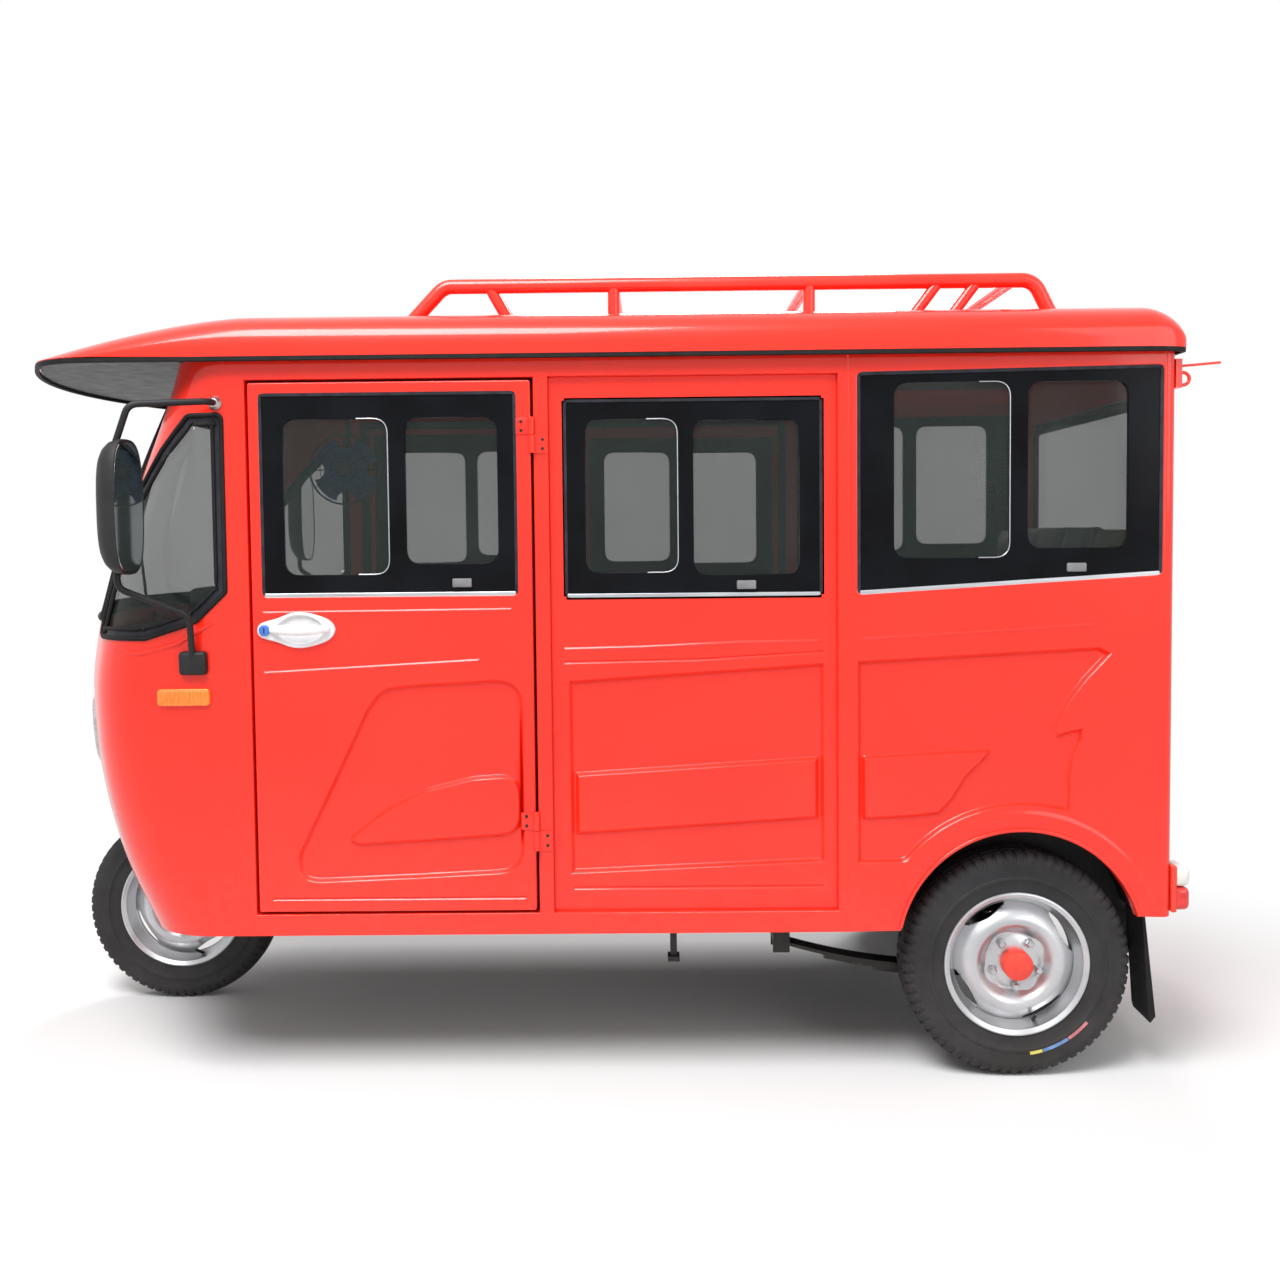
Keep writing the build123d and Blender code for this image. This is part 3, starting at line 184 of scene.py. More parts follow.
def bow(z):
    """The nose's plan at a height: side end, corner radius, big radius, its centre and the corner's end Y."""
    x_front, x_side, corner = smooth_rows(NOSE_ROWS, z)
    x_front, x_side = front_axle.x + x_front, front_axle.x + x_side
    depth = x_side - x_front
    big = ((half_width - corner) ** 2 + depth ** 2 - corner ** 2) / (2 * (depth - corner))
    centre = x_front + big
    reach = math.hypot(x_side - centre, half_width - corner)
    end_y = (half_width - corner) * (1 + corner / reach)
    return x_side, corner, big, centre, end_y


def nose_x(y, z):
    """X of the nose's surface at a place across and a height."""
    x_side, corner, big, centre, end_y = bow(z)
    y = abs(y)
    if y <= end_y:
        return centre - math.sqrt(big ** 2 - y ** 2)
    return x_side - math.sqrt(max(corner ** 2 - (y - half_width + corner) ** 2, 0))


def nose_y(x, z):
    """Half width of the nose's surface at a place along and a height."""
    x_side, corner, big, centre, end_y = bow(z)
    if x >= x_side:
        return half_width
    end_x = centre - math.sqrt(big ** 2 - end_y ** 2)
    if x >= end_x:
        return half_width - corner + math.sqrt(corner ** 2 - (x - x_side) ** 2)
    return math.sqrt(max(big ** 2 - (centre - x) ** 2, 0))


# Meshes and pieces

def new_object(name, mesh):
    """An object of a mesh, in the scene."""
    piece = bpy.data.objects.new(name, mesh)
    scene.collection.objects.link(piece)
    return piece


def shade(mesh, angle=32):
    """Smooth shading with edges kept sharp past an angle in degrees."""
    mesh.polygons.foreach_set("use_smooth", [True] * len(mesh.polygons))
    mesh.set_sharp_from_angle(angle=math.radians(angle))


def from_faces(name, vertices, faces, angle=32, closed=True):
    """An object from points and faces, with its faces turned outwards."""
    mesh = bpy.data.meshes.new(name)
    mesh.from_pydata([tuple(v) for v in vertices], [], faces)
    work = bmesh.new()
    work.from_mesh(mesh)
    bmesh.ops.remove_doubles(work, verts=work.verts, dist=1e-6)
    if closed:
        bmesh.ops.recalc_face_normals(work, faces=work.faces)
    work.to_mesh(mesh)
    work.free()
    shade(mesh, angle)
    return new_object(name, mesh)


def apply_modifiers(piece):
    """The piece with its modifiers made real."""
    bpy.context.view_layer.update()
    result = bpy.data.meshes.new_from_object(piece.evaluated_get(bpy.context.evaluated_depsgraph_get()))
    old = piece.data
    piece.modifiers.clear()
    piece.data = result
    if old.users == 0 and isinstance(old, bpy.types.Mesh):
        bpy.data.meshes.remove(old)
    return piece


def soften(piece, width, segments=2, angle=35):
    """Round a piece's sharp edges."""
    bevel = piece.modifiers.new("bevel", "BEVEL")
    bevel.width, bevel.segments, bevel.limit_method = width, segments, "ANGLE"
    bevel.angle_limit = math.radians(angle)
    bevel.harden_normals = False
    apply_modifiers(piece)
    shade(piece.data, 40)
    return piece


def flatten_normals(piece):
    """Keep big flat faces flat beside rounded ones."""
    weighted = piece.modifiers.new("weighted", "WEIGHTED_NORMAL")
    weighted.keep_sharp = True
    return apply_modifiers(piece)


def cut(piece, *cutters):
    """Take closed shapes out of a piece."""
    for cutter in cutters:
        difference = piece.modifiers.new("cut", "BOOLEAN")
        difference.operation, difference.solver, difference.object = "DIFFERENCE", "EXACT", cutter
        apply_modifiers(piece)
        bpy.data.objects.remove(cutter)
    shade(piece.data)
    return piece


def join(name, pieces):
    """Several objects as one."""
    work = bmesh.new()
    for piece in pieces:
        piece.data.transform(piece.matrix_world)
        work.from_mesh(piece.data)
        bpy.data.objects.remove(piece)
    mesh = bpy.data.meshes.new(name)
    work.to_mesh(mesh)
    work.free()
    shade(mesh, 40)
    return new_object(name, mesh)


def finish(piece, finish_material, body="root", replaced=()):
    """Give a piece its material and body, and hide the CAD nodes that it stands for."""
    piece.data.materials.clear()
    piece.data.materials.append(finish_material)
    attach(piece, body)
    if replaced:
        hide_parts(*replaced)
    return piece


def grid(name, rows, closed_u=False, closed_v=False, caps=False, angle=32):
    """A mesh through rows of points, with closed rounds and end caps where asked."""
    count, width = len(rows), len(rows[0])
    vertices = [p for row in rows for p in row]
    faces = []
    for i in range(count if closed_u else count - 1):
        for j in range(width if closed_v else width - 1):
            a, b = i * width + j, i * width + (j + 1) % width
            c, d = (i + 1) % count * width + (j + 1) % width, (i + 1) % count * width + j
            faces.append((a, b, c, d))
    if caps:
        faces.append(tuple(range(width))[::-1])
        faces.append(tuple((count - 1) * width + j for j in range(width)))
    return from_faces(name, vertices, faces, angle)


def lathe(name, profile, centre, segments=64, axis="Y", closed=True):
    """A ring turned about an axis. The profile is radius and place along the axis."""
    rows = []
    for step in range(segments):
        a = 2 * math.pi * step / segments
        across, up = math.cos(a), math.sin(a)
        row = []
        for radius, along in profile:
            if axis == "Y":
                row.append(Vector(centre) + Vector((radius * across, along, radius * up)))
            elif axis == "X":
                row.append(Vector(centre) + Vector((along, radius * across, radius * up)))
            else:
                row.append(Vector(centre) + Vector((radius * across, radius * up, along)))
        rows.append(row)
    return grid(name, rows, closed_u=True, closed_v=closed)


def knob(name, profile, centre, segments=32, axis="Y"):
    """A closed round shape whose profile starts and ends on its axis."""
    return lathe(name, [(max(r, 1e-5), t) for r, t in profile], centre, segments, axis)


def put_on_side(piece, centre, side):
    """Move a piece made at the origin to its place on a side, mirrored for the left."""
    piece.data.transform(Matrix.Translation(centre) @ Matrix.Diagonal((1, side, 1, 1)))
    if side < 0:
        piece.data.flip_normals()


def bend_path(points, radius, steps=6):
    """An open path with its corners rounded."""
    points = [Vector(p) for p in points]
    path = [points[0]]
    for before, here, after in zip(points, points[1:], points[2:]):
        a, b = before - here, after - here
        reach = min(radius / math.tan(a.angle(b) / 2), a.length * 0.49, b.length * 0.49)
        start, end = here + a.normalized() * reach, here + b.normalized() * reach
        for step in range(steps + 1):
            t = step / steps
            path.append(start * (1 - t) ** 2 + here * 2 * t * (1 - t) + end * t ** 2)
    return path + [points[-1]]


def tube(name, points, radius, bend=0.0, closed=False, resolution=4):
    """A round tube along a path."""
    path = bend_path(points, bend) if bend else [Vector(p) for p in points]
    curve = bpy.data.curves.new(name, "CURVE")
    curve.dimensions = "3D"
    curve.bevel_depth = radius
    curve.bevel_resolution = resolution
    curve.use_fill_caps = True
    spline = curve.splines.new("POLY")
    spline.points.add(len(path) - 1)
    spline.use_cyclic_u = closed
    for point, place in zip(spline.points, path):
        point.co = (*place, 1)
    holder = new_object(name + "_line", curve)
    mesh = bpy.data.meshes.new_from_object(holder.evaluated_get(bpy.context.evaluated_depsgraph_get()))
    bpy.data.objects.remove(holder)
    mesh.name = name
    shade(mesh, 50)
    return new_object(name, mesh)


def block(name, low, high, soft=0.002, segments=2):
    """A block between two corners with softened edges."""
    x, y, z = zip(low, high)
    vertices = [(a, b, c) for a in x for b in y for c in z]
    faces = [(0, 1, 3, 2), (4, 6, 7, 5), (0, 4, 5, 1), (2, 3, 7, 6), (0, 2, 6, 4), (1, 5, 7, 3)]
    return soften(from_faces(name, vertices, faces), soft, segments)


def sheet(name, outline, place, holes=(), features=(), thickness=0.003, edge=0.0, flush=None, spacing=0.0):
    """A pressed sheet.

    place(u, v, depth) gives its points; a feature is a loop with its (offset, depth) steps.
    """
    outline, holes = anticlockwise(outline), [anticlockwise(h) for h in holes]
    points, depths, edges, rims = [], [], [], []

    def add(loop, depth):
        start = len(points)
        points.extend(loop)
        depths.extend(0.0 if flush and flush(p) else depth for p in loop)
        edges.extend((start + i, start + (i + 1) % len(loop)) for i in range(len(loop)))
        return start

    for loop, outward in [(outline, -1)] + [(h, 1) for h in holes]:
        rims.append((add(loop, edge), len(loop)))
        for turn in (30, 60, 90) if edge else ():
            a = math.radians(turn)
            add(offset_loop(loop, outward * edge * (1 - math.cos(a))), edge * (1 - math.sin(a)))
    for loop, steps in features:
        loop = anticlockwise(loop)
        for outward, depth in steps:
            add(offset_loop(loop, outward), depth)
    filler = []
    if spacing:
        low_u, high_u = min(p.x for p in outline), max(p.x for p in outline)
        low_v, high_v = min(p.y for p in outline), max(p.y for p in outline)
        for i in range(1, int((high_u - low_u) / spacing) + 1):
            for j in range(1, int((high_v - low_v) / spacing) + 1):
                filler.append(Vector((low_u + i * spacing, low_v + j * spacing)))

    def triangles(some_points, some_edges):
        found, _, faces, origin, _, _ = delaunay_2d_cdt(some_points + filler, some_edges, [], 0, 1e-6)
        kept = []
        for face in faces:
            middle = sum((found[i] for i in face), Vector((0, 0))) / len(face)
            if inside(middle, outline) and not any(inside(middle, h) for h in holes):
                kept.append(face)
        return found, kept, origin

    vertices, faces = [], []
    for is_back in (False, True):
        if is_back:
            loops_only = [points[i] for start, count in rims for i in range(start, start + count)]
            own_edges, base = [], 0
            for _, count in rims:
                own_edges.extend((base + i, base + (i + 1) % count) for i in range(count))
                base += count
            found, kept, origin = triangles(loops_only, own_edges)
        else:
            found, kept, origin = triangles(points, edges)
        start = len(vertices)
        for place_2d, source in zip(found, origin):
            depth = depths[source[0]] if source and source[0] < len(depths) and not is_back else 0.0
            vertices.append(place(place_2d.x, place_2d.y, thickness if is_back else depth))
        faces.extend(tuple(start + i for i in face) for face in kept)
    for start, count in rims:
        front = len(vertices)
        vertices.extend(place(points[i].x, points[i].y, depths[i]) for i in range(start, start + count))
        vertices.extend(place(points[i].x, points[i].y, thickness) for i in range(start, start + count))
        for i in range(count):
            j = (i + 1) % count
            faces.append((front + i, front + j, front + count + j, front + count + i))
    piece = from_faces(name, vertices, faces)
    work = bmesh.new()
    work.from_mesh(piece.data)
    loose = [v for v in work.verts if not v.link_faces]
    bmesh.ops.delete(work, geom=loose, context="VERTS")
    work.to_mesh(piece.data)
    work.free()
    return flatten_normals(piece)


def side_plane(side, outer=half_width):
    """Places a side view point on a body side, at a depth in from its outer face."""
    return lambda u, v, depth: Vector((u, side * (outer - depth), v))


def nose_side(side, inset=0.0):
    """Places a side view point on the nose's side."""
    return lambda u, v, depth: Vector((u, side * (nose_y(u, v) - depth - inset), v))


def nose_front(inset=0.0):
    """Places a front view point on the nose's surface."""
    return lambda u, v, depth: Vector((nose_x(u, v) + depth + inset, u, v))


def rear_plane(stand=0.0):
    """Places a rear view point on the rear wall."""
    return lambda u, v, depth: Vector((rear_x + stand - depth, u, v))


# Materials

def new_material(name, slot, colour, roughness, metallic=0.0, **sockets):
    """A principled material with its sockets set."""
    made = bpy.data.materials.new(name)
    made["slot"] = slot
    made.use_nodes = True
    made.diffuse_color = (*colour, 1)
    shader = made.node_tree.nodes["Principled BSDF"]
    shader.inputs["Base Color"].default_value = (*colour, 1)
    shader.inputs["Roughness"].default_value = roughness
    shader.inputs["Metallic"].default_value = metallic
    for socket, value in sockets.items():
        shader.inputs[socket.replace("_", " ")].default_value = value
    return made


def vary(made, colour, darker, scale, stretch=(1, 1, 1), roughness=None, bump=None, detail=4.0, dust=None):
    """Add colour patches, roughness patches, a fine bump and low dust to a material,
    all in the object's own space."""
    tree = made.node_tree
    shader = tree.nodes["Principled BSDF"]
    where = tree.nodes.new("ShaderNodeTexCoord")
    mapping = tree.nodes.new("ShaderNodeMapping")
    mapping.inputs["Scale"].default_value = stretch
    tree.links.new(where.outputs["Object"], mapping.inputs["Vector"])

    def noise(noise_scale, noise_detail):
        node = tree.nodes.new("ShaderNodeTexNoise")
        node.inputs["Scale"].default_value = noise_scale
        node.inputs["Detail"].default_value = noise_detail
        tree.links.new(mapping.outputs["Vector"], node.inputs["Vector"])
        return node

    patches = noise(scale, detail)
    ramp = tree.nodes.new("ShaderNodeValToRGB")
    ramp.color_ramp.elements[0].position, ramp.color_ramp.elements[1].position = 0.35, 0.65
    ramp.color_ramp.elements[0].color, ramp.color_ramp.elements[1].color = (*darker, 1), (*colour, 1)
    tree.links.new(patches.outputs["Fac"], ramp.inputs["Fac"])
    outcome = ramp.outputs["Color"]
    if dust:
        dust_colour, top, strength = dust
        split = tree.nodes.new("ShaderNodeSeparateXYZ")
        tree.links.new(where.outputs["Object"], split.inputs["Vector"])
        fade = tree.nodes.new("ShaderNodeMapRange")
        fade.inputs["From Min"].default_value, fade.inputs["From Max"].default_value = 0.0, top
        fade.inputs["To Min"].default_value, fade.inputs["To Max"].default_value = strength, 0.0
        tree.links.new(split.outputs["Z"], fade.inputs["Value"])
        specks = noise(38.0, 8.0)
        amount = tree.nodes.new("ShaderNodeMath")
        amount.operation = "MULTIPLY"
        tree.links.new(fade.outputs["Result"], amount.inputs[0])
        tree.links.new(specks.outputs["Fac"], amount.inputs[1])
        mix = tree.nodes.new("ShaderNodeMix")
        mix.data_type = "RGBA"
        mix.inputs["B"].default_value = (*dust_colour, 1)
        tree.links.new(amount.outputs["Value"], mix.inputs["Factor"])
        tree.links.new(outcome, mix.inputs["A"])
        outcome = mix.outputs["Result"]
    tree.links.new(outcome, shader.inputs["Base Color"])
    if roughness:
        spread = tree.nodes.new("ShaderNodeMapRange")
        spread.inputs["To Min"].default_value, spread.inputs["To Max"].default_value = roughness
        tree.links.new(noise(scale * 2.3, 6.0).outputs["Fac"], spread.inputs["Value"])
        tree.links.new(spread.outputs["Result"], shader.inputs["Roughness"])
    if bump:
        bump_scale, strength, distance = bump
        relief = tree.nodes.new("ShaderNodeBump")
        relief.inputs["Strength"].default_value = strength
        relief.inputs["Distance"].default_value = distance
        tree.links.new(noise(bump_scale, 3.0).outputs["Fac"], relief.inputs["Height"])
        tree.links.new(relief.outputs["Normal"], shader.inputs["Normal"])
    return made


RED, RED_DARK = (0.92, 0.022, 0.007), (0.875, 0.018, 0.005)
DUST = (0.30, 0.25, 0.20)


def paint(name, slot, colour, darker):
    """Gloss paint on pressed steel: slight orange peel, a little uneven, dusty low down."""
    made = new_material(name, slot, colour, 0.34, Specular_IOR_Level=0.3, Coat_Weight=0.6,
                        Coat_Roughness=0.09)
    return vary(made, colour, darker, 3.0, roughness=(0.28, 0.42), bump=(420.0, 0.05, 0.0006),
                dust=(DUST, 0.75, 0.16))


body_paint = paint("red_paint", "body_red", RED, RED_DARK)
rack_paint = paint("rack_paint", "body_red", (0.93, 0.04, 0.020), RED_DARK)
satin_black = vary(new_material("satin_black", "frame_black", (0.022, 0.022, 0.024), 0.42,
                                Specular_IOR_Level=0.25),
                   (0.022, 0.022, 0.024), (0.013, 0.013, 0.014), 12.0, roughness=(0.34, 0.58),
                   bump=(260.0, 0.12, 0.0006), dust=(DUST, 0.5, 0.22))
plastic = vary(new_material("grained_plastic", "black_plastic", (0.018, 0.018, 0.02), 0.5,
                            Specular_IOR_Level=0.3),
               (0.020, 0.020, 0.022), (0.013, 0.013, 0.014), 18.0, roughness=(0.42, 0.6),
               bump=(900.0, 0.3, 0.0005))
gloss_black = vary(new_material("gloss_black_frit", "pane", (0.006, 0.006, 0.008), 0.12,
                                Specular_IOR_Level=0.08),
                   (0.006, 0.007, 0.009), (0.003, 0.003, 0.004), 5.0, roughness=(0.08, 0.18))
rubber = vary(new_material("seal_rubber", "rubber_black", (0.012, 0.012, 0.012), 0.62,
                           Specular_IOR_Level=0.2),
              (0.013, 0.012, 0.012), (0.007, 0.007, 0.007), 25.0, roughness=(0.5, 0.75),
              bump=(700.0, 0.2, 0.0006))
tyre_rubber = vary(new_material("tyre_rubber", "tyre_black", (0.022, 0.023, 0.026), 0.7,
                                Specular_IOR_Level=0.3),
                   (0.026, 0.027, 0.030), (0.013, 0.013, 0.015), 9.0, roughness=(0.55, 0.85),
                   bump=(520.0, 0.25, 0.0007), dust=((0.10, 0.085, 0.07), 0.6, 0.35))
silver = vary(new_material("rim_silver_paint", "rim_silver", (0.58, 0.59, 0.61), 0.34, 0.75, Coat_Weight=0.2),
              (0.62, 0.63, 0.65), (0.50, 0.51, 0.53), 11.0, roughness=(0.24, 0.42),
              bump=(800.0, 0.12, 0.0004),
              dust=((0.45, 0.42, 0.38), 0.5, 0.3))
bright_steel = vary(new_material("bright_steel", "steel_grey", (0.55, 0.56, 0.57), 0.28, 1.0),
                    (0.58, 0.58, 0.59), (0.42, 0.42, 0.43), 30.0, (1, 1, 6), roughness=(0.2, 0.42),
                    bump=(600.0, 0.1, 0.0004))
trim = vary(new_material("anodised_trim", "rim_silver", (0.60, 0.62, 0.65), 0.3, 0.9),
            (0.62, 0.64, 0.67), (0.48, 0.50, 0.53), 40.0, (0.2, 1, 4), roughness=(0.22, 0.4))
channel = vary(new_material("window_channel", "rubber_black", (0.03, 0.03, 0.036), 0.45, 0.2,
                            Specular_IOR_Level=0.2),
               (0.032, 0.033, 0.042), (0.018, 0.018, 0.024), 30.0, roughness=(0.35, 0.55))
white_plastic = vary(new_material("silver_white_plastic", "handle_white", (0.80, 0.81, 0.82), 0.28,
                                  Coat_Weight=0.4),
                     (0.82, 0.83, 0.84), (0.72, 0.73, 0.74), 14.0, roughness=(0.2, 0.36),
                     bump=(500.0, 0.06, 0.0003))
grey_plastic = vary(new_material("grey_plastic", "black_plastic", (0.2, 0.2, 0.21), 0.45),
                    (0.22, 0.22, 0.23), (0.16, 0.16, 0.17), 30.0, roughness=(0.38, 0.55),
                    bump=(700.0, 0.2, 0.0004))
blue_plastic = vary(new_material("blue_plastic", "fan_blue", (0.06, 0.20, 0.62), 0.35),
                    (0.07, 0.22, 0.68), (0.04, 0.15, 0.52), 14.0, roughness=(0.28, 0.45))
amber_lens = vary(new_material("amber_lens", "amber", (1.0, 0.23, 0.012), 0.16, Coat_Weight=0.6),
                  (1.0, 0.25, 0.015), (0.90, 0.17, 0.008), 60.0, (4, 1, 1), roughness=(0.12, 0.25),
                  bump=(260.0, 0.25, 0.0008))
cream_lens = vary(new_material("clear_lens", "lamp_clear", (0.82, 0.80, 0.74), 0.14, Coat_Weight=0.6),
                  (0.84, 0.82, 0.77), (0.70, 0.67, 0.60), 50.0, roughness=(0.1, 0.22),
                  bump=(220.0, 0.3, 0.0008))
red_lens = vary(new_material("red_lens", "lamp_red", (0.75, 0.02, 0.015), 0.16, Coat_Weight=0.6),
                (0.80, 0.022, 0.016), (0.60, 0.014, 0.010), 60.0, roughness=(0.12, 0.22),
                bump=(240.0, 0.25, 0.0008))
red_cap = vary(new_material("red_hub_plastic", "body_red", (0.86, 0.06, 0.035), 0.4),
               (0.88, 0.065, 0.04), (0.76, 0.045, 0.025), 30.0, roughness=(0.32, 0.48),
               bump=(500.0, 0.1, 0.0004))
cast_iron = vary(new_material("cast_iron", "cast_grey", (0.16, 0.16, 0.165), 0.6, 0.5),
                 (0.18, 0.18, 0.185), (0.08, 0.075, 0.07), 16.0, roughness=(0.45, 0.8),
                 bump=(180.0, 0.4, 0.001))
leather = vary(new_material("leatherette", "seat_cover", (0.060, 0.040, 0.034), 0.48),
               (0.066, 0.044, 0.037), (0.045, 0.030, 0.026), 10.0, roughness=(0.4, 0.58),
               bump=(420.0, 0.18, 0.0006))
piping = vary(new_material("seat_piping", "seat_cover", (0.09, 0.07, 0.065), 0.4),
              (0.10, 0.078, 0.07), (0.07, 0.055, 0.05), 40.0, roughness=(0.34, 0.5),
              bump=(900.0, 0.2, 0.0004))
floor_mat = vary(new_material("ribbed_mat", "rubber_black", (0.05, 0.05, 0.052), 0.7),
                 (0.055, 0.055, 0.057), (0.035, 0.035, 0.036), 8.0, roughness=(0.6, 0.8),
                 bump=(300.0, 0.4, 0.001))
liner = vary(new_material("roof_liner", "seat_cover", (0.36, 0.35, 0.33), 0.8),
             (0.38, 0.37, 0.35), (0.33, 0.32, 0.30), 20.0, roughness=(0.7, 0.9), bump=(800.0, 0.4, 0.0008))
blank_plate = vary(new_material("blank_plate", "handle_white", (0.78, 0.78, 0.74), 0.4),
                   (0.80, 0.80, 0.76), (0.70, 0.70, 0.66), 20.0, roughness=(0.3, 0.5),
                   bump=(300.0, 0.1, 0.0004))
mirror_glass = vary(new_material("mirror_glass", "rim_silver", (0.82, 0.84, 0.86), 0.03, 1.0),
                    (0.83, 0.85, 0.87), (0.80, 0.82, 0.84), 6.0, roughness=(0.02, 0.05))
yellow_mark = vary(new_material("yellow_mark", "tyre_black", (0.70, 0.62, 0.12), 0.6),
                   (0.74, 0.66, 0.14), (0.55, 0.48, 0.10), 60.0, roughness=(0.5, 0.7))
blue_mark = vary(new_material("blue_mark", "tyre_black", (0.16, 0.28, 0.55), 0.6),
                 (0.18, 0.31, 0.58), (0.12, 0.22, 0.45), 60.0, roughness=(0.5, 0.7))
rose_mark = vary(new_material("rose_mark", "tyre_black", (0.62, 0.20, 0.22), 0.6),
                 (0.66, 0.22, 0.24), (0.5, 0.16, 0.18), 60.0, roughness=(0.5, 0.7))


def glass_material(name, slot, tint, alpha):
    """A thin tinted pane that lets the inside show, with faint smears in its gloss."""
    made = new_material(name, slot, tint, 0.04, Alpha=alpha, Specular_IOR_Level=0.3)
    made.surface_render_method = "BLENDED"
    return vary(made, tint, tuple(c * 0.7 for c in tint), 4.0, roughness=(0.02, 0.07))


glass = glass_material("tinted_glass", "pane", (0.030, 0.042, 0.038), 0.38)
screen_glass = glass_material("clear_glass", "pane", (0.06, 0.08, 0.075), 0.28)
lamp_glass = glass_material("lamp_glass", "lamp_clear", (0.80, 0.82, 0.84), 0.25)


# Body sides

def arch_outline():
    """A rear quarter's side view outline, round its wheel arch."""
    start = math.degrees(math.asin((sill_z - arch_centre[1]) / arch_radius))
    end = math.degrees(math.asin((rear_bottom_z - arch_centre[1]) / arch_radius))
    bow_line = arc(arch_centre, arch_radius, 180 - start, end, 48)
    corner = rear_x - post_radius
    return [(quarter_x, sill_z), *bow_line, (corner, rear_bottom_z), (corner, roof_z), (quarter_x, roof_z)]


def step(depth, width, base=0.0):
    """Offsets and depths of a soft pressed edge, from a base depth to a deeper or higher one."""
    return [(width * (0.5 - t), base + (depth - base) * (3 * t * t - 2 * t ** 3)) for t in (0, 0.3, 0.7, 1)]


def ridge(points, width):
    """A thin closed strip along a line of side view points."""
    line = [Vector(p) for p in points]
    upper, lower = [], []
    for index, here in enumerate(line):
        before, after = line[max(index - 1, 0)], line[min(index + 1, len(line) - 1)]
        along = (after - before).normalized()
        across = Vector((-along.y, along.x)) * width / 2
        upper.append(here + across)
        lower.append(here - across)
    return upper + lower[::-1]


post_radius = 0.022
window_round = 0.012
middle_window = (middle_front_x + 0.034, middle_rear_x - 0.033, belt_z + 0.090, roof_z - 0.100)
door_window = (door_front_x + 0.0315, door_rear_x - 0.040, belt_z + 0.098, roof_z - 0.081)
quarter_window = [(quarter_x + 0.023, belt_z + 0.092), (rear_x - 0.032, belt_z + 0.131),
                  (rear_x - 0.032, roof_z - 0.038),
                  (quarter_x + 0.023, roof_z - 0.048)]
emboss = 0.011
crease_width = 0.009


def scaled(*points):
    """Points in millimetres as metres."""
    return [(x * MM, z * MM) for x, z in points]


def side_skin(side):
    """Sill, pillars and top rail round the two door openings."""
    outline = [(pillar_x, sill_z), (quarter_x, sill_z), (quarter_x, roof_z), (pillar_x, roof_z)]
    holes = [rectangle(door_front_x, door_rear_x, sill_z + 0.049, roof_z - 0.049),
             rectangle(middle_front_x, middle_rear_x, sill_z + 0.049, roof_z - 0.048)]
    name = "left" if side < 0 else "right"
    skin = sheet(f"side_skin_{name}", outline, side_plane(side), holes, thickness=half_width - inner_half,
                 edge=0.004, flush=lambda p: p.x < pillar_x + 0.001 or p.x > quarter_x - 0.001)
    finish(skin, body_paint, replaced=[f"side_frame_{name}"])
    for part, hole in zip(("front", "middle"), holes):
        if side < 0 and part == "middle":
            continue
        seal = sheet(f"door_seal_{part}_{name}", offset_loop(hole, 0.008),
                     side_plane(side, inner_half - 0.0002),
                     [offset_loop(hole, -0.016)], thickness=0.006, edge=0.002)
        finish(seal, rubber)


def quarter_skin(side):
    """A rear quarter with its pressed recess, creases and rounded arch."""
    recess_edge = scaled((607, 517), (607, 975), (1150, 1002), (1172, 990), (1120, 935), (1082, 885),
                         (1052, 822),
                         (1058, 803), (1090, 812), (1112, 816), (1112, 800), (1092, 765), (1084, 710),
                         (1086, 640))
    flare = arc(arch_centre, flare_radius, 72, 141, 22)
    recess = recess_edge + flare + scaled((700, 519))
    island = rounded(scaled((617, 757), (700, 761), (800, 766), (908, 771), (876, 738), (849, 712),
                            (818, 660),
                            (788, 628), (740, 622), (617, 616)), 0.006)
    swell = ridge(arc(arch_centre, arch_radius + 0.036, 158, 24, 40), 0.020)
    top_line = ridge(scaled((612, 1029), (900, 1044), (1141, 1058)), 0.005)
    features = [(recess, step(emboss, crease_width)),
                (island, step(0.0005, 0.009, emboss)),
                (swell, step(-0.0045, 0.012)),
                (top_line, step(-0.0028, 0.004))]
    name = "left" if side < 0 else "right"
    skin = sheet(f"quarter_skin_{name}", arch_outline(), side_plane(side),
                 [rounded(quarter_window, window_round)],
                 features, thickness=half_width - inner_half, edge=0.005,
                 flush=lambda p: p.x < quarter_x + 0.001 or p.x > rear_x - post_radius - 0.001)
    finish(skin, body_paint, replaced=[f"rear_quarter_{name}"])
    bead = [(x, side * (half_width + 0.001), z)
            for x, z in arc(arch_centre, arch_radius + 0.004, 168, 17, 56)]
    finish(tube(f"arch_bead_{name}", bead, 0.0045), body_paint)
    post = []
    for z in (rear_bottom_z, roof_z):
        rim = [Vector((x, side * y, z)) for x, y in
               arc((rear_x - post_radius, half_width - post_radius), post_radius, 0, 90, 8)]
        post.append(rim + [Vector((rear_x - post_radius, side * inner_half, z)),
                           Vector((rear_x - 0.030, side * inner_half, z)),
                           Vector((rear_x - 0.030, side * (half_width - post_radius), z))])
    finish(grid(f"corner_post_{name}", post, closed_v=True, caps=True), body_paint)


def door_features():
    """Pressed forms of the front doors in side view."""
    recess = rounded(scaled((-165, 502), (-400, 491), (-637, 482), (-676, 490), (-680, 541), (-600, 702),
                            (-520, 870),
                            (-484, 922), (-420, 930), (-300, 936), (-165, 943)), 0.06)
    crescent = rounded(scaled((-170, 588), (-170, 725), (-280, 716), (-388, 690), (-476, 645), (-566, 577),
                              (-548, 565), (-380, 574)), 0.05)
    return [(recess, step(emboss, crease_width)),
            (crescent, step(0.0005, 0.009, emboss)),
            (ridge(scaled((-751, 963), (-505, 975), (-259, 988)), 0.006), step(-0.0030, 0.005)),
            (ridge(scaled((-751, 1101), (-185, 1104)), 0.005), step(-0.0028, 0.004)),
            (ridge(scaled((-743, 440), (-160, 440)), 0.005), step(0.003, 0.004))]


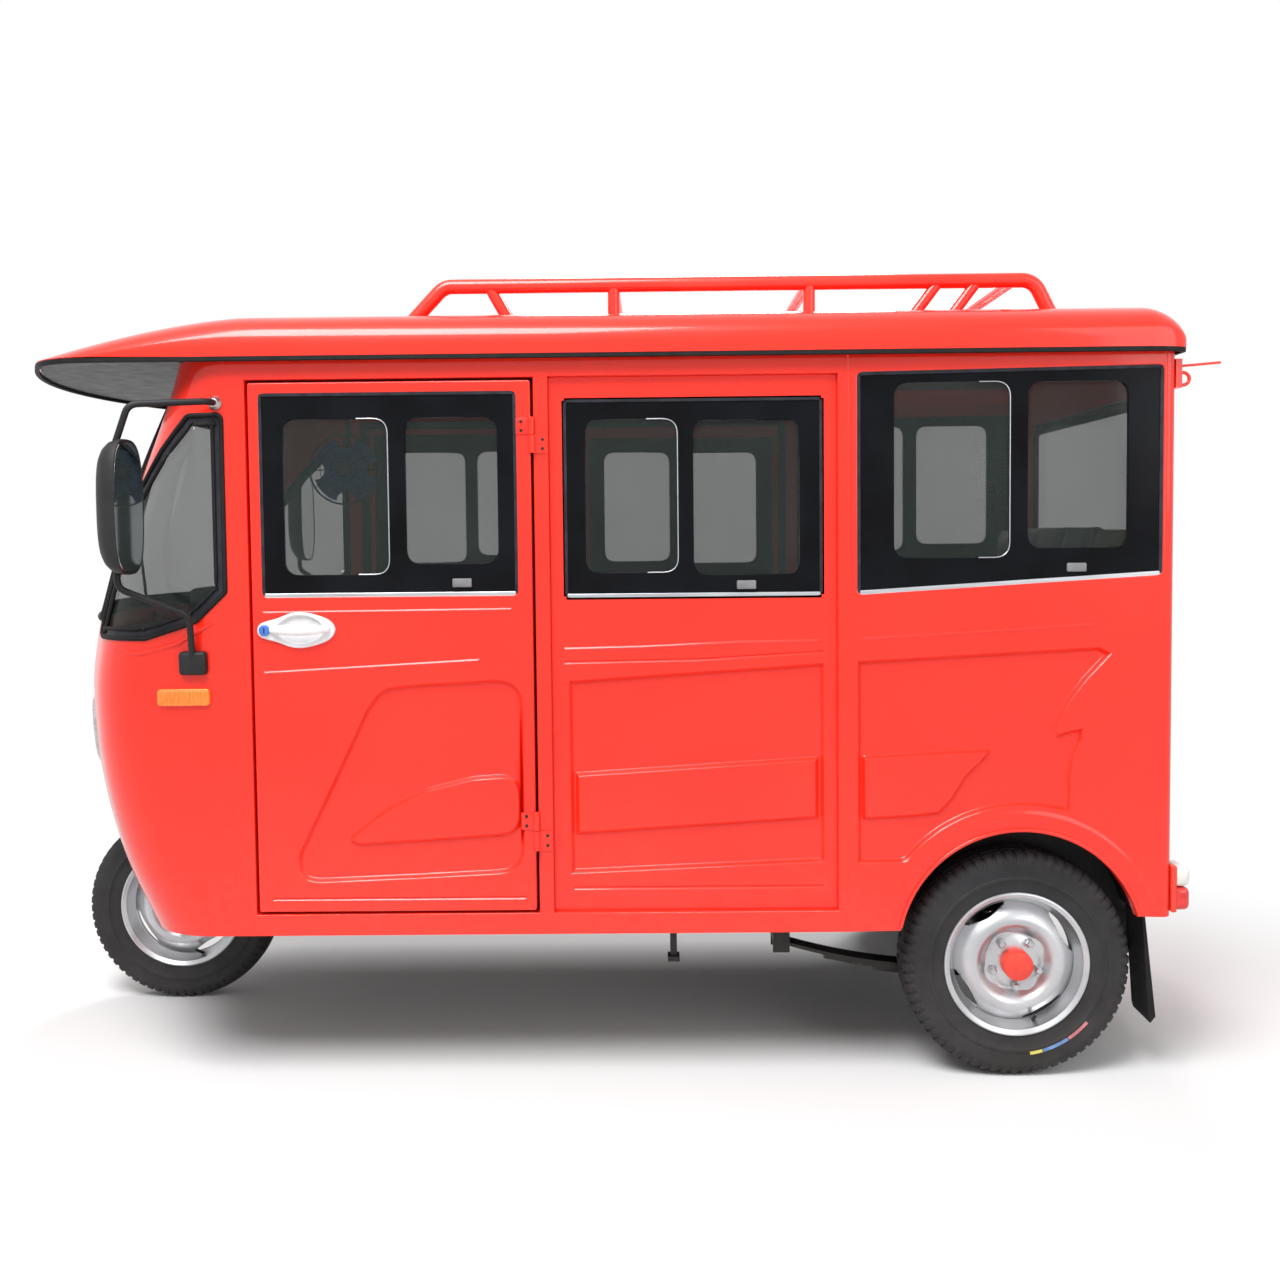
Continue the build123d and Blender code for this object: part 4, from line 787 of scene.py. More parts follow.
def middle_features():
    """Pressed forms of the middle panel and door in side view."""
    recess = scaled((-52, 494), (525, 517), (525, 969), (-52, 934))
    island = scaled((-40, 583), (512, 616), (512, 753), (-40, 720))
    return [(recess, step(emboss, crease_width)),
            (island, step(0.0005, 0.009, emboss)),
            (ridge(scaled((-50, 456), (525, 456)), 0.006), step(0.003, 0.005)),
            (ridge(scaled((-66, 1010), (120, 1013), (330, 1022), (520, 1024)), 0.006), step(-0.003, 0.005)),
            (ridge(scaled((-66, 980), (240, 984), (527, 1000)), 0.005), step(0.003, 0.004))]


# Windows

def window_unit(name, side, body, outer, outline, panes, replaced=(), tag_x=None, tag_z=None, slope=0.0):
    """A sliding window: black surround, two rounded panes, channel, bottom trim and latch tag."""
    place = side_plane(side, outer)
    loop = anticlockwise(outline)
    holes = [rectangle(*pane, 0.034, 8) for pane in panes]
    surround = sheet(f"surround_{name}", offset_loop(loop, -0.001), place, holes, thickness=0.010,
                     edge=0.0012)
    finish(surround, gloss_black, body, replaced=replaced)
    for index, pane in enumerate(panes):
        depth = 0.0015 + 0.004 * index
        x0, x1, z0, z1 = pane
        grown = rectangle(x0 - 0.006, x1 + 0.006, z0 - 0.006, z1 + 0.006, 0.038, 8)
        inset_place = side_plane(side, outer - depth - 0.001)
        finish(sheet(f"glass_{name}_{index}", grown, inset_place, thickness=0.004), glass, body)
    x0, x1, z0, z1 = panes[0]
    line = [(x, side * (outer + 0.0008), z) for x, z in ((x1 - 0.07, z1), (x1, z1), (x1, z0),
                                                         (x1 - 0.07, z0))]
    finish(tube(f"slider_edge_{name}", line, 0.0013, 0.045), trim, body)
    low_left, high_left = (min(loop, key=lambda p: p.x + s * p.y) for s in (1, -1))
    high_right, low_right = (max(loop, key=lambda p: p.x + s * p.y) for s in (1, -1))
    lines = (("foot", low_left, low_right, 0.0075, trim), ("head", high_left, high_right, 0.006, channel),
             ("front", low_left, high_left, 0.006, channel), ("rear", low_right, high_right, 0.006, channel))
    for part, start, end, half, material in lines:
        strip = ridge((start, end), 2 * half)
        finish(sheet(f"{part}_channel_{name}", strip, side_plane(side, outer + 0.003), thickness=0.008,
                     edge=0.0015),
               material, body)
    if tag_x:
        tag = block(f"latch_{name}", (tag_x, side * (outer + 0.0045) - 0.0045, tag_z - 0.010),
                    (tag_x + 0.044, side * (outer + 0.0045) + 0.0045, tag_z + 0.010), 0.003)
        finish(tag, grey_plastic, body)


def handle(name, side, body, front_x, replaced):
    """A pull handle: eye-shaped dish, grip bar across it and the lock at its front end."""
    z = belt_z + 0.022
    x0, x1 = front_x, front_x + 0.178
    upper = [(x0 + 0.006, z + 0.014), (x0 + 0.022, z + 0.021), (x0 + 0.045, z + 0.027),
             (x0 + 0.078, z + 0.039),
             (x0 + 0.110, z + 0.040), (x0 + 0.145, z + 0.031), (x0 + 0.168, z + 0.019)]
    outline = smooth_loop([(x0, z), *upper, (x1, z), *((x, 2 * z - h) for x, h in upper[::-1])], 5)
    dish = smooth_loop([(x0 + 0.044, z), (x0 + 0.060, z + 0.020), (x0 + 0.082, z + 0.031),
                        (x0 + 0.110, z + 0.031),
                        (x0 + 0.136, z + 0.021), (x0 + 0.150, z), (x0 + 0.136, z - 0.021),
                        (x0 + 0.110, z - 0.031),
                        (x0 + 0.082, z - 0.031), (x0 + 0.060, z - 0.020)], 4)
    plate = sheet(f"handle_dish_{name}", outline, side_plane(side, half_width + 0.009), (),
                  [(dish, step(0.0075, 0.006))], thickness=0.0088, edge=0.004)
    finish(plate, white_plastic, body, replaced=replaced)
    rows = []
    for index in range(13):
        t = index / 12
        x = x0 + 0.030 + 0.136 * t
        swell = math.sin(math.pi * t)
        stand = half_width + 0.012 + 0.016 * swell ** 0.6
        tall, deep = 0.007 + 0.006 * swell, 0.004 + 0.003 * swell
        rows.append([Vector((x, side * (stand + deep * math.sin(a)), z + 0.002 + tall * math.cos(a)))
                     for a in (2 * math.pi * k / 16 for k in range(16))])
    finish(grid(f"handle_grip_{name}", rows, closed_v=True, caps=True), white_plastic, body)
    centre = (x0 + 0.018, side * half_width, z)
    barrel = knob(f"lock_{name}", [(0, 0.006), (0.0125, 0.006), (0.0125, 0.013), (0.0105, 0.015),
                                   (0, 0.015)], (0, 0, 0))
    slit = block(f"lock_slit_{name}", (-0.0012, 0.014, -0.006), (0.0012, 0.0165, 0.006), 0.0004)
    for part, material in ((barrel, blue_plastic), (slit, satin_black)):
        put_on_side(part, centre, side)
        finish(part, material, body)


def hinges(name, side, body, x):
    """Two barrel hinges of a door: fixed lower knuckles, turning upper knuckles, leaves and screws."""
    y = side * (half_width + 0.007)
    for index, (z0, z1) in enumerate(((sill_z + 0.196, sill_z + 0.286), (roof_z - 0.220, roof_z - 0.139))):
        middle = (z0 + z1) / 2
        for part, low, high, rides, outward in (("fixed", z0, middle, "root", 1),
                                                ("moving", middle + 0.0004, z1, body, -1)):
            lip = 0.0015
            barrel = knob(f"hinge_{part}_{name}_{index}",
                          [(0, low), (0.0055, low), (0.007, low + lip), (0.007, high - lip), (0.0055, high),
                           (0, high)],
                          (x, y, 0), 24, "Z")
            x_leaf = sorted((x + outward * 0.004, x + outward * 0.036))
            y_leaf = sorted((side * half_width, side * (half_width + 0.0035)))
            leaf = block(f"leaf_{part}_{name}_{index}", (x_leaf[0], y_leaf[0], low + 0.002),
                         (x_leaf[1], y_leaf[1], high - 0.002), 0.001)
            finish(join(f"hinge_{part}_{name}_{index}", [barrel, leaf]), body_paint, rides)
            for offset in (0.25, 0.75):
                head = low + (high - low) * offset
                screw = knob(f"screw_{part}_{name}_{index}_{int(offset * 4)}",
                             [(0, 0.0030), (0.004, 0.0030), (0.0034, 0.0052), (0, 0.0058)], (0, 0, 0), 12)
                put_on_side(screw, (x + outward * 0.024, side * half_width, head), side)
                finish(screw, satin_black, rides)


def door(name, side, body, opening, window, features, hinge_x, panes, node, tag):
    """A door: pressed skin, window, handle and hinges."""
    x0, _, z0, z1 = opening
    outline = rectangle(x0 + seam, hinge_x - 0.003, z0 + seam, z1 - seam, 0.006, 3)
    skin = sheet(f"door_skin_{name}", outline, side_plane(side), [rectangle(*window, window_round)], features,
                 thickness=half_width - inner_half, edge=0.004)
    finish(skin, body_paint, body, replaced=[f"door_{node}"])
    window_unit(f"door_{name}", side, body, half_width - 0.004, rectangle(*window), panes,
                [f"window_door_{node}"], *tag)
    handle(name, side, body, window[0] - 0.013, [f"handle_door_{node}"])
    hinges(name, side, body, hinge_x)


def body_sides():
    """Both body sides with their doors and windows."""
    for side in (-1, 1):
        side_skin(side)
        quarter_skin(side)
    door_opening = (door_front_x, door_rear_x, sill_z + 0.049, roof_z - 0.049)
    middle_opening = (middle_front_x, middle_rear_x, sill_z + 0.049, roof_z - 0.048)
    door_panes = [(-0.699, -0.460, 1.187, 1.540), (-0.421, -0.212, 1.210, 1.541)]
    middle_panes = [(-0.013, 0.197, 1.185, 1.534), (0.233, 0.474, 1.178, 1.530)]
    quarter_panes = [(0.686, 0.947, 1.212, 1.608), (0.988, 1.213, 1.232, 1.607)]
    hinge_x, middle_hinge_x = door_rear_x - 0.003, middle_rear_x - 0.003
    for name, side, node in (("left", -1, "left"), ("right_front", 1, "right_front")):
        door(name, side, f"{node}_door", door_opening, door_window, door_features(), hinge_x, door_panes,
             node,
             (-0.317, 1.166))
    door("right_middle", 1, "right_middle_door", middle_opening, middle_window, middle_features(),
         middle_hinge_x,
         middle_panes, "right_middle", (0.330, 1.155))
    panel = sheet("middle_skin_left", rectangle(*middle_opening), side_plane(-1, half_width - panel_recess),
                  [rectangle(*middle_window, window_round)], middle_features(),
                  thickness=half_width - panel_recess - inner_half, edge=0.001)
    finish(panel, body_paint, replaced=["middle_panel_left"])
    window_unit("middle_left", -1, "root", half_width - panel_recess - 0.003, rectangle(*middle_window),
                middle_panes,
                ["fixed_windows"], 0.330, 1.155)
    for side, name in ((-1, "left"), (1, "right")):
        window_unit(f"quarter_{name}", side, "root", half_width - 0.004, quarter_window, quarter_panes, (),
                    1.075, 1.188)


# Nose, roof and rear

QUARTER_LIGHT = [(pillar_x + x * MM, belt_z + z * MM) for x, z in
                 ((-338, 5), (-257, 298), (-155, 436), (-85, 511), (-5, 512), (-5, 110), (-74, 44),
                  (-95, 36), (-192, 5))]
lamp_y, lamp_z, lamp_radius = half_width - 0.275, sill_z + 0.445, 0.082
tunnel_half, tunnel_z = 0.225, 2 * front_radius + 0.124
SCREEN = [(-(half_width - 0.110), belt_z + 0.045), (half_width - 0.110, belt_z + 0.045),
          (half_width - 0.155, roof_z - 0.078), (-(half_width - 0.155), roof_z - 0.078)]


def nose_plan(z):
    """Plan points of the nose at a height, from the left pillar round to the right one."""
    x_side, corner, big, centre, end_y = bow(z)
    half = [Vector((pillar_x + (x_side - pillar_x) * i / 4, -half_width)) for i in range(4)]
    reach = math.hypot(x_side - centre, half_width - corner)
    turn = math.asin((centre - x_side) / reach)
    for i in range(15):
        a = turn * i / 14
        half.append(Vector((x_side - corner * math.sin(a), -(half_width - corner) - corner * math.cos(a))))
    edge_angle = math.asin(end_y / big)
    for i in range(1, 25):
        a = edge_angle * (1 - i / 24)
        half.append(Vector((centre - big * math.cos(a), -big * math.sin(a))))
    points = half + [Vector((p.x, -p.y)) for p in half[-2::-1]]
    return [Vector((p.x, p.y, z)) for p in points]


def nose():
    """The smooth nose and windscreen surround, cut for its glass, lamps and wheel."""
    wall = 0.008
    levels = [sill_z + (roof_z - sill_z) * i / 78 for i in range(79)]
    rows = []
    for z in levels:
        outer = nose_plan(z)
        inner = [Vector((p.x + wall * max(0.0, 1 - abs(p.y) / half_width) + wall * 0.3,
                         p.y * (1 - wall / half_width), z)) for p in outer]
        inner[0].x, inner[-1].x = pillar_x, pillar_x
        rows.append(outer + inner[::-1])
    skin = grid("nose_skin", rows, closed_v=True, caps=True)
    cutters = [prism("screen_cut", [(y, z) for y, z in rounded(SCREEN, 0.045)], "X", front_axle.x - 0.4,
                     -0.9)]
    for side in (-1, 1):
        y0, y1 = sorted((side * 0.505, side * (half_width + 0.05)))
        cutters.append(prism(f"light_cut_{side}", rounded(QUARTER_LIGHT, 0.014), "Y", y0, y1))
        cutters.append(prism(f"lamp_cut_{side}", [(side * lamp_y + y, lamp_z + z) for y, z in
                                                  arc((0, 0), lamp_radius, 0, 352.5, 47)], "X", -1.6, -1.1))
    cutters.append(prism("wheel_cut", rectangle(-tunnel_half, tunnel_half, sill_z - 0.1, tunnel_z, 0.06),
                         "X", -1.6, -0.87))
    finish(cut(skin, *cutters), body_paint, replaced=["nose_fascia", "windscreen_frame"])
    lip = [(y, z) for y, z in rectangle(-tunnel_half, tunnel_half, sill_z - 0.1, tunnel_z, 0.06)
           if z >= sill_z]
    upper = (sorted((p for p in lip if p[0] < 0), key=lambda p: p[1]) +
             sorted((p for p in lip if p[0] >= 0), key=lambda p: -p[1]))
    edge = [(nose_x(y, z) + 0.002, y, z) for y, z in upper]
    finish(tube("wheel_opening_lip", edge, 0.006), rubber)


def prism(name, outline, axis, low, high):
    """A closed prism along an axis from an outline in the other two."""
    rows = []
    for t in (low, high):
        rows.append([Vector((t, p[0], p[1])) if axis == "X" else Vector((p[0], t, p[1]))
                     if axis == "Y" else Vector((p[0], p[1], t)) for p in outline])
    return grid(name, rows, closed_v=True, caps=True)


def dense(loop, step_length):
    """A closed loop with points added so that no run is longer than a step."""
    result = []
    points = [Vector(p) for p in loop]
    for a, b in zip(points, points[1:] + points[:1]):
        count = max(1, math.ceil((b - a).length / step_length))
        result.extend(a + (b - a) * i / count for i in range(count))
    return result


def front_glass():
    """Windscreen and front quarter windows with their black borders and seals."""
    border = anticlockwise(dense(rounded(SCREEN, 0.045), 0.02))
    opening = offset_loop(border, -0.030)
    frit = sheet("screen_border", offset_loop(border, 0.004), nose_front(0.004), [opening], thickness=0.004,
                 spacing=0.05)
    finish(frit, gloss_black)
    finish(sheet("screen_glass", offset_loop(border, 0.002), nose_front(0.009), thickness=0.005,
                 spacing=0.04),
           screen_glass, replaced=["windscreen"])
    seal = [(nose_x(p.x, p.y) + 0.001, p.x, p.y) for p in border]
    finish(tube("screen_seal", seal, 0.009, closed=True), rubber)
    for side, name in ((-1, "left"), (1, "right")):
        outline = anticlockwise(dense(rounded(QUARTER_LIGHT, 0.014), 0.02))
        opening = offset_loop(outline, -0.022)
        finish(sheet(f"quarter_light_border_{name}", offset_loop(outline, -0.0005), nose_side(side, 0.002),
                     [opening],
                     thickness=0.006, spacing=0.03), channel)
        finish(sheet(f"quarter_light_glass_{name}", offset_loop(opening, 0.010), nose_side(side, 0.009),
                     thickness=0.004, spacing=0.03), glass)
        line = [(p.x, side * (nose_y(p.x, p.y) + 0.0005), p.y) for p in outline]
        finish(tube(f"quarter_light_seal_{name}", line, 0.0055, closed=True), rubber)
        inner_line = [(p.x, side * (nose_y(p.x, p.y) - 0.001), p.y) for p in offset_loop(outline, -0.021)]
        finish(tube(f"quarter_light_inner_seal_{name}", inner_line, 0.0045, closed=True), rubber)
        crease = scaled((-1103, 1017), (-1034, 1010), (-946, 1034), (-885, 1070), (-869, 1079))
        bead = [(x, side * (nose_y(x, z) - 0.0015), z) for x, z in bend_2d(crease)]
        finish(tube(f"nose_crease_{name}", bead, 0.0055), body_paint)


def bend_2d(points):
    """A smooth open line through side view points."""
    return [(p.x, p.y) for p in bend_path([Vector((x, z, 0)) for x, z in points], 0.08)]


def roof_section(side_inset=0.0, side_drop=0.0, crown_drop=0.0):
    """The roof's section as Y and Z, from its left foot over the crown to its right foot."""
    half = roof_half - side_inset
    side_z = roof_z + 0.042 - side_drop
    shoulder_y, shoulder_z = roof_half - 0.090 - side_inset, roof_z + 0.100 - crown_drop * 0.85
    crown_z = roof_z + 0.134 - crown_drop
    points = [(half, roof_z), (half, (roof_z + side_z) / 2), (half, side_z)]
    bend = ((half + shoulder_y) / 2 + 0.014, (side_z + shoulder_z) / 2 + 0.010 * (1 - side_drop / 0.040))
    control = (2 * bend[0] - (half + shoulder_y) / 2, 2 * bend[1] - (side_z + shoulder_z) / 2)
    for i in range(1, 9):
        t = i / 8
        points.append(tuple(half * (1 - t) ** 2 + control[0] * 2 * t * (1 - t) + shoulder_y * t * t
                            if axis == 0 else
                            side_z * (1 - t) ** 2 + control[1] * 2 * t * (1 - t) + shoulder_z * t * t
                            for axis in (0, 1)))
    rise = crown_z - shoulder_z
    for i in range(1, 15):
        y = shoulder_y * (1 - i / 14)
        points.append((y, crown_z - rise * (y / shoulder_y) ** 2))
    left = [(-y, z) for y, z in points]
    return left + points[-2::-1]


def visor_rim():
    """The visor's rim as X and Y, in step with the roof's section points."""
    corner_x, tip_x, corner = front_axle.x + 0.040, front_axle.x - 0.255, 0.170
    depth = corner_x - tip_x
    big = ((roof_half - corner) ** 2 + depth ** 2 - corner ** 2) / (2 * (depth - corner))
    centre = tip_x + big
    reach = math.hypot(corner_x - centre, roof_half - corner)
    end_y = (roof_half - corner) * (1 + corner / reach)
    turn = math.asin((centre - corner_x) / reach)
    points = [(corner_x + 0.020 * (1 - i / 2), roof_half) for i in range(3)]
    for i in range(1, 9):
        a = turn * i / 8
        points.append((corner_x - corner * math.sin(a), roof_half - corner + corner * math.cos(a)))
    edge_angle = math.asin(end_y / big)
    for i in range(1, 15):
        a = edge_angle * (1 - i / 14)
        points.append((centre - big * math.cos(a), big * math.sin(a)))
    left = [(x, -y) for x, y in points]
    return left + points[-2::-1]


def roof():
    """The roof and visor as one smooth skin, with a liner inside and a black sheet closing the visor's
    underside, whose black is painted shade.
    """
    section, rim = roof_section(), visor_rim()
    front_x = roof_low.x
    rows = []
    for i in range(21):
        v = 1 - i / 20
        drop = v ** 1.55
        rows.append([Vector((front_x + (rx - front_x) * v, y + (ry - y) * v,
                             z + (roof_z + 0.003 - z) * drop)) for (y, z), (rx, ry) in zip(section, rim)])
    for i in range(1, 12):
        x = front_x + (roof_high.x - 0.085 - front_x) * i / 11
        rows.append([Vector((x, y, z)) for y, z in section])
    for i in range(1, 11):
        t = i / 10
        a = math.radians(90 * t)
        drops = (0.034 * (1 - math.cos(a)), 0.028 * (1 - math.cos(a)), 0.077 * (1 - math.cos(a)) ** 0.9)
        x = roof_high.x - 0.085 + 0.085 * math.sin(a)
        rows.append([Vector((x, y, z)) for y, z in roof_section(*drops)])
    last = rows[-1]
    rows.append([Vector((roof_high.x, p.y, roof_z)) for p in last])
    skin = grid("roof_skin", rows)
    solid = skin.modifiers.new("solid", "SOLIDIFY")
    solid.thickness, solid.offset = 0.006, -1
    apply_modifiers(skin)
    shade(skin.data, 40)
    finish(skin, body_paint, replaced=["roof_shell", "roof_visor"])
    ceiling = []
    for x in (front_x - 0.02, rear_x - 0.03):
        ceiling.append([Vector((x, y * (inner_half / roof_half), z - 0.020)) for y, z in section[4:-4]])
    lining = grid("roof_liner", ceiling)
    solid = lining.modifiers.new("solid", "SOLIDIFY")
    solid.thickness = 0.004
    finish(apply_modifiers(lining), liner)
    corner = [(roof_high.x - 0.085 + 0.0845 * math.sin(a), roof_half - 0.034 * (1 - math.cos(a)))
              for a in (math.radians(15 * i) for i in range(7))]
    edge_line = [Vector(p) for p in [(x, -y) for x, y in corner[::-1]] + rim + corner]
    edge_line = anticlockwise(edge_line)
    finish(sheet("roof_lip", edge_line, lambda u, v, depth: Vector((u, v, roof_z - 0.010 + depth)),
                 [offset_loop(edge_line, -0.010)], thickness=0.0105, edge=0.002), rubber,
                 replaced=["roof_gasket"])
    # A flat sheet closes the visor's underside; its satin black is painted shade of the downward-facing face,
    # not the roof's own colour.
    left = [p for p in rim if p[1] <= 0]
    outline = [(-0.86, -roof_half + 0.012)] + [(x + 0.012, y * 0.985) for x, y in left[:-1]]
    outline += [(x, -y) for x, y in outline[::-1]]
    flat = sheet("visor_underside_painted_shade", outline, lambda u, v, depth: Vector((u, v, roof_z - 0.002 + depth)),
                 thickness=0.004)
    finish(flat, satin_black)


def rear():
    """Rear wall with its window, blank plate, bumper plate screws and pressed lines."""
    window = (-(half_width - 0.180), half_width - 0.180, belt_z + 0.110, roof_z - 0.088)
    half = half_width - post_radius
    features = [(rectangle(-0.46, 0.46, belt_z - 0.46, belt_z - 0.02, 0.03), step(0.006, 0.014)),
                (ridge([(-0.42, belt_z + 0.03), (0.42, belt_z + 0.03)], 0.008), step(-0.003, 0.005)),
                (rectangle(-0.20, 0.20, belt_z - 0.33, belt_z - 0.15, 0.02), step(-0.001, 0.010, 0.006))]
    skin = sheet("rear_skin", rectangle(-half, half, rear_bottom_z, roof_z), rear_plane(),
                 [rectangle(*window, 0.040, 8)], features, thickness=0.030, edge=0.004,
                 flush=lambda p: abs(p.x) > half - 0.001)
    finish(skin, body_paint, replaced=["rear_wall"])
    x0, x1, z0, z1 = window
    border = sheet("rear_window_border", rectangle(x0 + 0.001, x1 - 0.001, z0 + 0.001, z1 - 0.001, 0.040, 8),
                   rear_plane(-0.003), [rectangle(x0 + 0.03, x1 - 0.03, z0 + 0.03, z1 - 0.03, 0.030, 8)],
                   thickness=0.005, edge=0.001)
    finish(border, gloss_black)
    finish(sheet("rear_glass", rectangle(x0 + 0.02, x1 - 0.02, z0 + 0.02, z1 - 0.02, 0.034, 8),
                 rear_plane(-0.008),
                 thickness=0.005), glass)
    seal = [(rear_x + 0.001, p.x, p.y) for p in rectangle(*window, 0.040, 8)]
    finish(tube("rear_seal", seal, 0.007, closed=True), rubber)
    finish(block("rear_plate", (rear_x + 0.0245, -0.10, 0.405), (rear_x + 0.0275, 0.10, 0.465), 0.001),
           blank_plate)
    for y in (-0.080, 0.080):
        bolt = knob(f"plate_bolt_{'left' if y < 0 else 'right'}",
                    [(0, 0.026), (0.006, 0.026), (0.006, 0.030), (0, 0.031)],
                    (rear_x, y, 0.435), 6, "X")
        finish(bolt, bright_steel)
    lamp_cover = block("rear_plate_lamp", (rear_x + 0.001, -0.05, 0.482), (rear_x + 0.018, 0.05, 0.500),
                       0.004)
    finish(lamp_cover, plastic)


# Lamps, mirrors and nose furniture

def nose_round(name, profile, y, segments):
    """A round shape pressed on to the nose's surface at a head lamp. The profile is radius and depth."""
    rows = []
    for index in range(segments):
        a = 2 * math.pi * index / segments
        rows.append([])
        for r, depth in profile:
            py, pz = y + r * math.cos(a), lamp_z + r * math.sin(a)
            rows[-1].append(Vector((nose_x(py, pz) + depth, py, pz)))
    return grid(name, rows, closed_u=True, closed_v=True)


def lamps():
    """Head lamps, indicators and tail lamps."""
    for side, name in ((-1, "left"), (1, "right")):
        y = side * lamp_y
        face = nose_x(y, lamp_z)
        bezel = [(0.066, 0.012), (0.068, -0.004), (0.074, -0.007), (0.081, -0.004), (0.083, 0.010),
                 (0.078, 0.016)]
        finish(nose_round(f"head_lamp_bezel_{name}", bezel, y, 64), bright_steel)
        bowl = [(0.006, 0.055), (0.035, 0.048), (0.058, 0.028), (0.069, 0.004), (0.071, 0.004),
                (0.061, 0.031),
                (0.037, 0.052), (0.006, 0.060)]
        finish(nose_round(f"head_lamp_bowl_{name}", bowl, y, 48), mirror_glass)
        bulb = knob(f"head_lamp_bulb_{name}", [(0, 0.014), (0.008, 0.016), (0.011, 0.026), (0.009, 0.040),
                                               (0, 0.056)],
                    (face, y, lamp_z), 20, "X")
        finish(bulb, cream_lens)
        lens = [(1e-5, -0.011), (0.030, -0.0095), (0.052, -0.006), (0.067, -0.001), (0.069, 0.003),
                (0.066, 0.004),
                (0.051, -0.002), (0.030, -0.0055), (1e-5, -0.007)]
        finish(nose_round(f"head_lamp_lens_{name}", lens, y, 64), lamp_glass,
               replaced=["head_lamps"] if side < 0 else ())
        x0, x1, z0, z1 = pillar_x - 0.165, pillar_x - 0.045, belt_z - 0.149, belt_z - 0.110
        lens_outline = rectangle(x0, x1, z0, z1, 0.009)

        def on_side(u, v, depth, side=side):
            return Vector((u, side * (nose_y(u, v) + 0.010 - depth), v))

        ribs = [(rectangle(x0 + 0.008 + 0.0085 * i, x0 + 0.0125 + 0.0085 * i, z0 + 0.006, z1 - 0.006, 0.001,
                           2),
                 [(0.001, 0.0), (-0.0005, -0.0012)]) for i in range(12)]
        finish(sheet(f"indicator_{name}", lens_outline, on_side, (), ribs, thickness=0.0105, edge=0.003),
               amber_lens,
               replaced=["front_indicators"] if side < 0 else ())
        low, high = rear_bottom_z + 0.012, rear_bottom_z + 0.114
        y0, y1 = sorted((side * (half_width - 0.003), side * (half_width - 0.085)))
        split = low + 0.055
        for part, a, b, material in (("upper", split, high, cream_lens), ("lower", low, split, red_lens)):
            shell = block(f"tail_lamp_{part}_{name}", (rear_x + 0.004, y0, a + 0.0006),
                          (rear_x + 0.044, y1, b - 0.0006),
                          0.014, 5)
            finish(shell, material, replaced=["tail_lamps"] if side < 0 and part == "upper" else ())
        base = block(f"tail_lamp_base_{name}", (rear_x - 0.001, y0 - 0.001, low - 0.003),
                     (rear_x + 0.012, y1 + 0.001, high + 0.003),
                     0.004, 3)
        finish(base, red_cap)


def mirrors():
    """Door mirrors: bowed shell, glass, rim, two arms and the lower clamp block."""
    x_front, x_rear = pillar_x - 0.235, pillar_x - 0.175
    z_mid, half_z, half_y, y_mid = belt_z + 0.3025, 0.1475, 0.080, half_width + 0.110

    def ring(x, scale, side):
        points = []
        for k in range(48):
            a = 2 * math.pi * k / 48
            c, s = math.cos(a), math.sin(a)
            px = math.copysign(abs(c) ** 0.62, c) * half_y * scale
            pz = math.copysign(abs(s) ** 0.72, s) * half_z * (1 - (1 - scale) * 0.6)
            points.append(Vector((x, side * y_mid + px, z_mid + pz)))
        return points

    for side, name in ((-1, "left"), (1, "right")):
        rows = [ring(x_front + (x_rear - x_front) * t, (1 - (1 - t) ** 2.6) ** 0.5 if t else 0.12, side)
                for t in (0, 0.03, 0.1, 0.2, 0.35, 0.55, 0.75, 0.92)]
        rows += [ring(x_rear, 1.0, side), ring(x_rear + 0.002, 0.975, side),
                 ring(x_rear - 0.001, 0.955, side)]
        finish(grid(f"mirror_shell_{name}", rows, closed_v=True, caps=True), plastic,
               replaced=["mirrors"] if side < 0 else ())
        pane = [ring(x_rear - 0.0015, 0.945, side), ring(x_rear + 0.0005, 0.93, side)]
        finish(grid(f"mirror_pane_{name}", pane, closed_v=True, caps=True), mirror_glass)
        mid_x, foot_y = (x_front + x_rear) / 2, half_width + 0.040
        upper = [(pillar_x - 0.018, side * (half_width - 0.01), roof_z - 0.100),
                 (pillar_x - 0.018, side * foot_y, roof_z - 0.100),
                 (mid_x + 0.035, side * y_mid, roof_z - 0.112),
                 (mid_x + 0.004, side * y_mid, z_mid + half_z - 0.01)]
        lower = [(mid_x, side * y_mid, z_mid - half_z + 0.01), (mid_x, side * y_mid, z_mid - half_z - 0.030),
                 (pillar_x - 0.075, side * foot_y, belt_z + 0.060),
                 (pillar_x - 0.080, side * (half_width + 0.010), belt_z - 0.050)]
        for part, line in (("upper", upper), ("lower", lower)):
            finish(tube(f"mirror_arm_{part}_{name}", line, 0.0075, 0.03), satin_black)
        y0, y1 = sorted((side * (half_width - 0.006), side * (half_width + 0.020)))
        finish(block(f"mirror_clamp_{name}", (pillar_x - 0.111, y0, belt_z - 0.078),
                     (pillar_x - 0.049, y1, belt_z - 0.024),
                     0.008, 3), plastic)
        flange = knob(f"mirror_flange_{name}", [(0, 0.0), (0.016, 0.0), (0.016, 0.004), (0.010, 0.012),
                                                (0, 0.014)],
                      (0, 0, 0), 24)
        put_on_side(flange, (pillar_x - 0.018, side * half_width, roof_z - 0.100), side)
        finish(flange, bright_steel)


